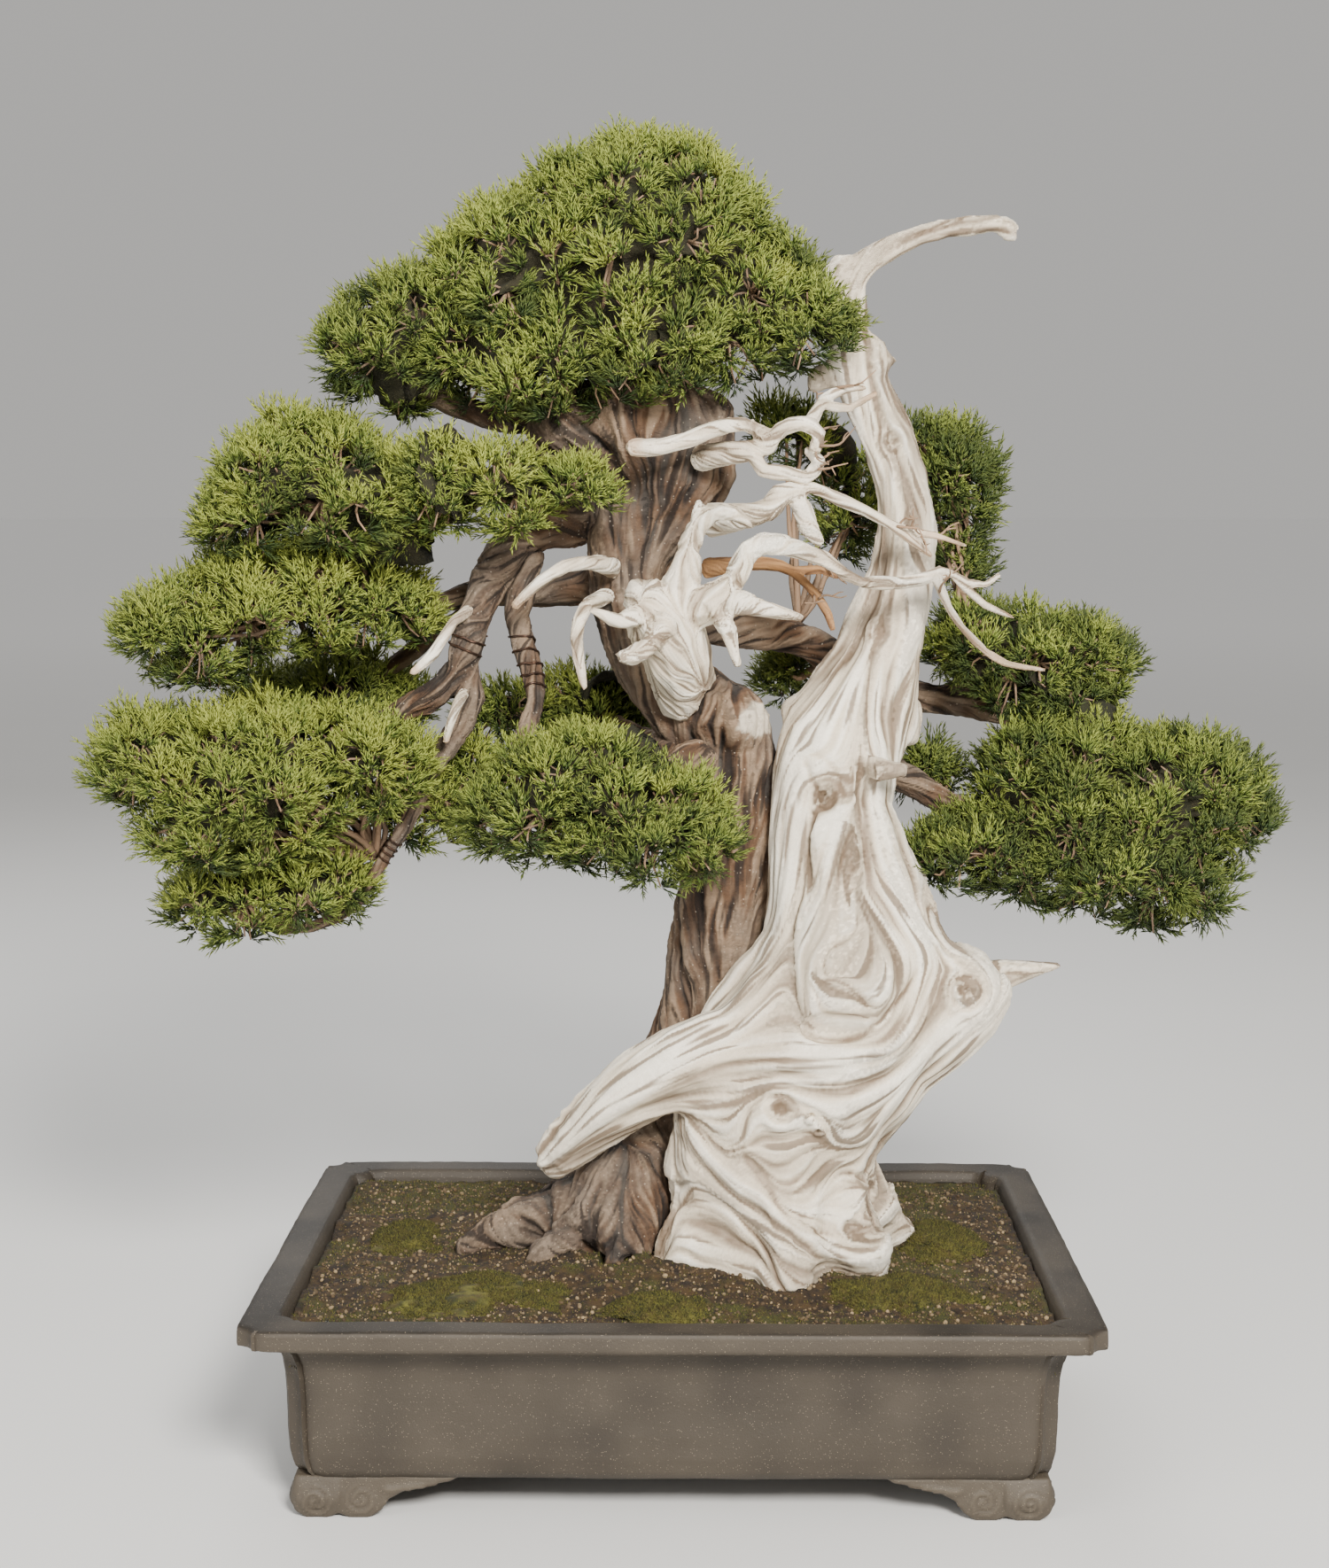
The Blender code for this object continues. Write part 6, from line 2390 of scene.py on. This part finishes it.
LIMBS = (
    Limb("trunk_deadwood", "deadwood", 0.00184, 7,
         (Carving(0.0240, 0.0026, 0.24), Carving(0.0110, 0.0015, 0.18), Carving(0.0055, 0.0008, 0.13),
          Carving(0.0028, 0.00035, 0.08)),
         knots=(Knot(0.68, 0.81, 0.0075, 0.0018), Knot(0.64, 0.65, 0.0065, 0.0018),
                Knot(0.54, 0.508, 0.0085, 0.0012), Knot(0.62, 0.52, 0.0100, 0.0024),
                Knot(0.83, 0.335, 0.0120, 0.0022), Knot(0.45, 0.225, 0.0100, 0.0018),
                Knot(0.51, 0.228, 0.0030, 0.0040), Knot(0.525, 0.215, 0.0026, 0.0040)),
         growth=Growth.BETWEEN_ENDS, seed=100, guides=DEADWOOD_GUIDES, ragged=0.004, stubs=(
             Stub(0.630, 0.522, (0.95, -0.25, 0.12), 0.026, (0.0085, 0.0045)),
             Stub(0.640, 0.868, (0.80, -0.05, 0.60), 0.017, (0.0120, 0.0050)),
             Stub(0.590, 0.925, (-0.70, -0.10, 0.60), 0.022, (0.0120, 0.0080))),
         shading=(0.20, 0.42, 0.42, 0.30)),
    Limb("trunk_live", "bark", 0.0020, 10,
         (Carving(0.0200, 0.0020, 0.14), Carving(0.0100, 0.0016, 0.10), Carving(0.0052, 0.0012, 0.07),
          Carving(0.0028, 0.0006, 0.04)),
         seed=200, flaky=0.0016, scars=((0.91, 0.63, 0.014),), shading=(0.2, 0.4, 0.45, 0.45)),
    *(Limb(name, "bark", 0.0013, 8, (Carving(0.0070, 0.0010, 0.06), Carving(0.0035, 0.0006, 0.04)), seed=seed,
           flaky=0.0010)
      for name, seed in (("branch_crown_left", 300), ("branch_left_upper", 310), ("branch_left_main", 320),
                         ("branch_left_inner", 330), ("branch_left_back", 340), ("branch_centre_low", 350),
                         ("branch_right_upper", 360), ("branch_right_low", 370))),
    *(Limb(name, "deadwood", 0.0010, 6, FINE_GRAIN, seed=seed, tip_stain=0.75)
      for name, seed in (("jin_centre", 400), ("jin_upper", 410), ("jin_middle", 420),
                         ("dead_stick_left_top", 430), ("dead_stick_left_outer", 440),
                         ("dead_stick_left_hanging", 450), ("dead_stick_left_low", 460))),
    Limb("dead_twig_brown", "dry_twig", 0.0008, 5, FINE_GRAIN[1:], seed=500),
)


def build_wood(materials: dict[str, Material]) -> None:
    """Makes every woody piece."""
    for limb in LIMBS:
        limb.build(materials[limb.slot])


# Painted light and shade for each leaf pad: the left pads are painted lighter and the right pads darker.
PAD_PAINTED_LIGHT = {
    "foliage_left_front": 0.9, "foliage_left_low": 0.9, "foliage_left_mid": 0.8, "foliage_left_lowest": 0.4,
    "foliage_left_inner": 0.5, "foliage_left_upper": 0.4, "foliage_centre_low": -0.8,
    "foliage_right_upper": -1.6, "foliage_right_low": -1.7, "foliage_right_inner": -1.8,
    "foliage_right_back": -1.8, "foliage_crown": -0.2}


def build_leaves(materials: dict[str, Material]) -> None:
    """Makes every leaf pad.

    Args:
        materials: The materials, by name.
    """
    tufts = [TuftMaker().make(seed) for seed in range(8)]
    names = sorted(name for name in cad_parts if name.startswith("foliage_"))
    for number, name in enumerate(names):
        cut = CROWN_CUT if name == "foliage_crown" else LeafPad.cut
        pad = LeafPad(name, seed=number + 1, cut=cut, light=PAD_PAINTED_LIGHT.get(name, 0.0))
        pad.build(tufts, materials["leaf"], materials["leaf_inside"], materials["twig"])


def build_ground(materials: dict[str, Material]) -> None:
    """Makes the pot and what fills it.

    Args:
        materials: The materials, by name.
    """
    Pot().build(materials["pot_clay"])
    Soil().build(materials["soil"], materials["grit"], materials["moss"])
    for number, name in enumerate(sorted(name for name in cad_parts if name.startswith("moss_"))):
        MossPatch(name, seed=600 + 10 * number).build(materials["moss"])
    for name in ("drain_screen_left", "drain_screen_right"):
        DrainScreen(name).build(materials["drain_mesh"])
    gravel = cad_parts["gravel_layer"]
    gravel.data.materials.clear()
    gravel.data.materials.append(materials["grit"])


def main() -> None:
    """Builds the whole scene."""
    logging.basicConfig(level=logging.INFO, format="%(message)s")
    specks = speck_group()
    groups = Groups(fibre_group(), specks, carved_group(specks), earth_group(specks))
    finishes = {"pot_clay": CLAY, "soil": SOIL, "moss": MOSS, "grit": GRIT, "drain_mesh": MESH_PLASTIC,
                "deadwood": DEADWOOD, "bark": BARK, "dry_twig": DRY_TWIG, "leaf": LeafFinish(),
                "leaf_inside": LEAF_INSIDE, "twig": TWIG, "wire": WireFinish()}
    materials = {name: finish.build(groups) for name, finish in finishes.items()}
    build_ground(materials)
    build_wood(materials)
    for number, (name, count) in enumerate((("jin_upper", 9), ("jin_middle", 6), ("jin_centre", 3),
                                            ("dead_twig_brown", 6))):
        Twiglets(name, count, seed=810 + number).build(materials["twig"])
    for name, branch in (("wire_left_main", "branch_left_main"), ("wire_left_drop", "branch_left_main"),
                         ("wire_left_inner", "branch_left_inner")):
        WireCoil(name, branch).build(materials["wire"])
    build_leaves(materials)
    Studio().build()


if __name__ == "__main__":
    main()
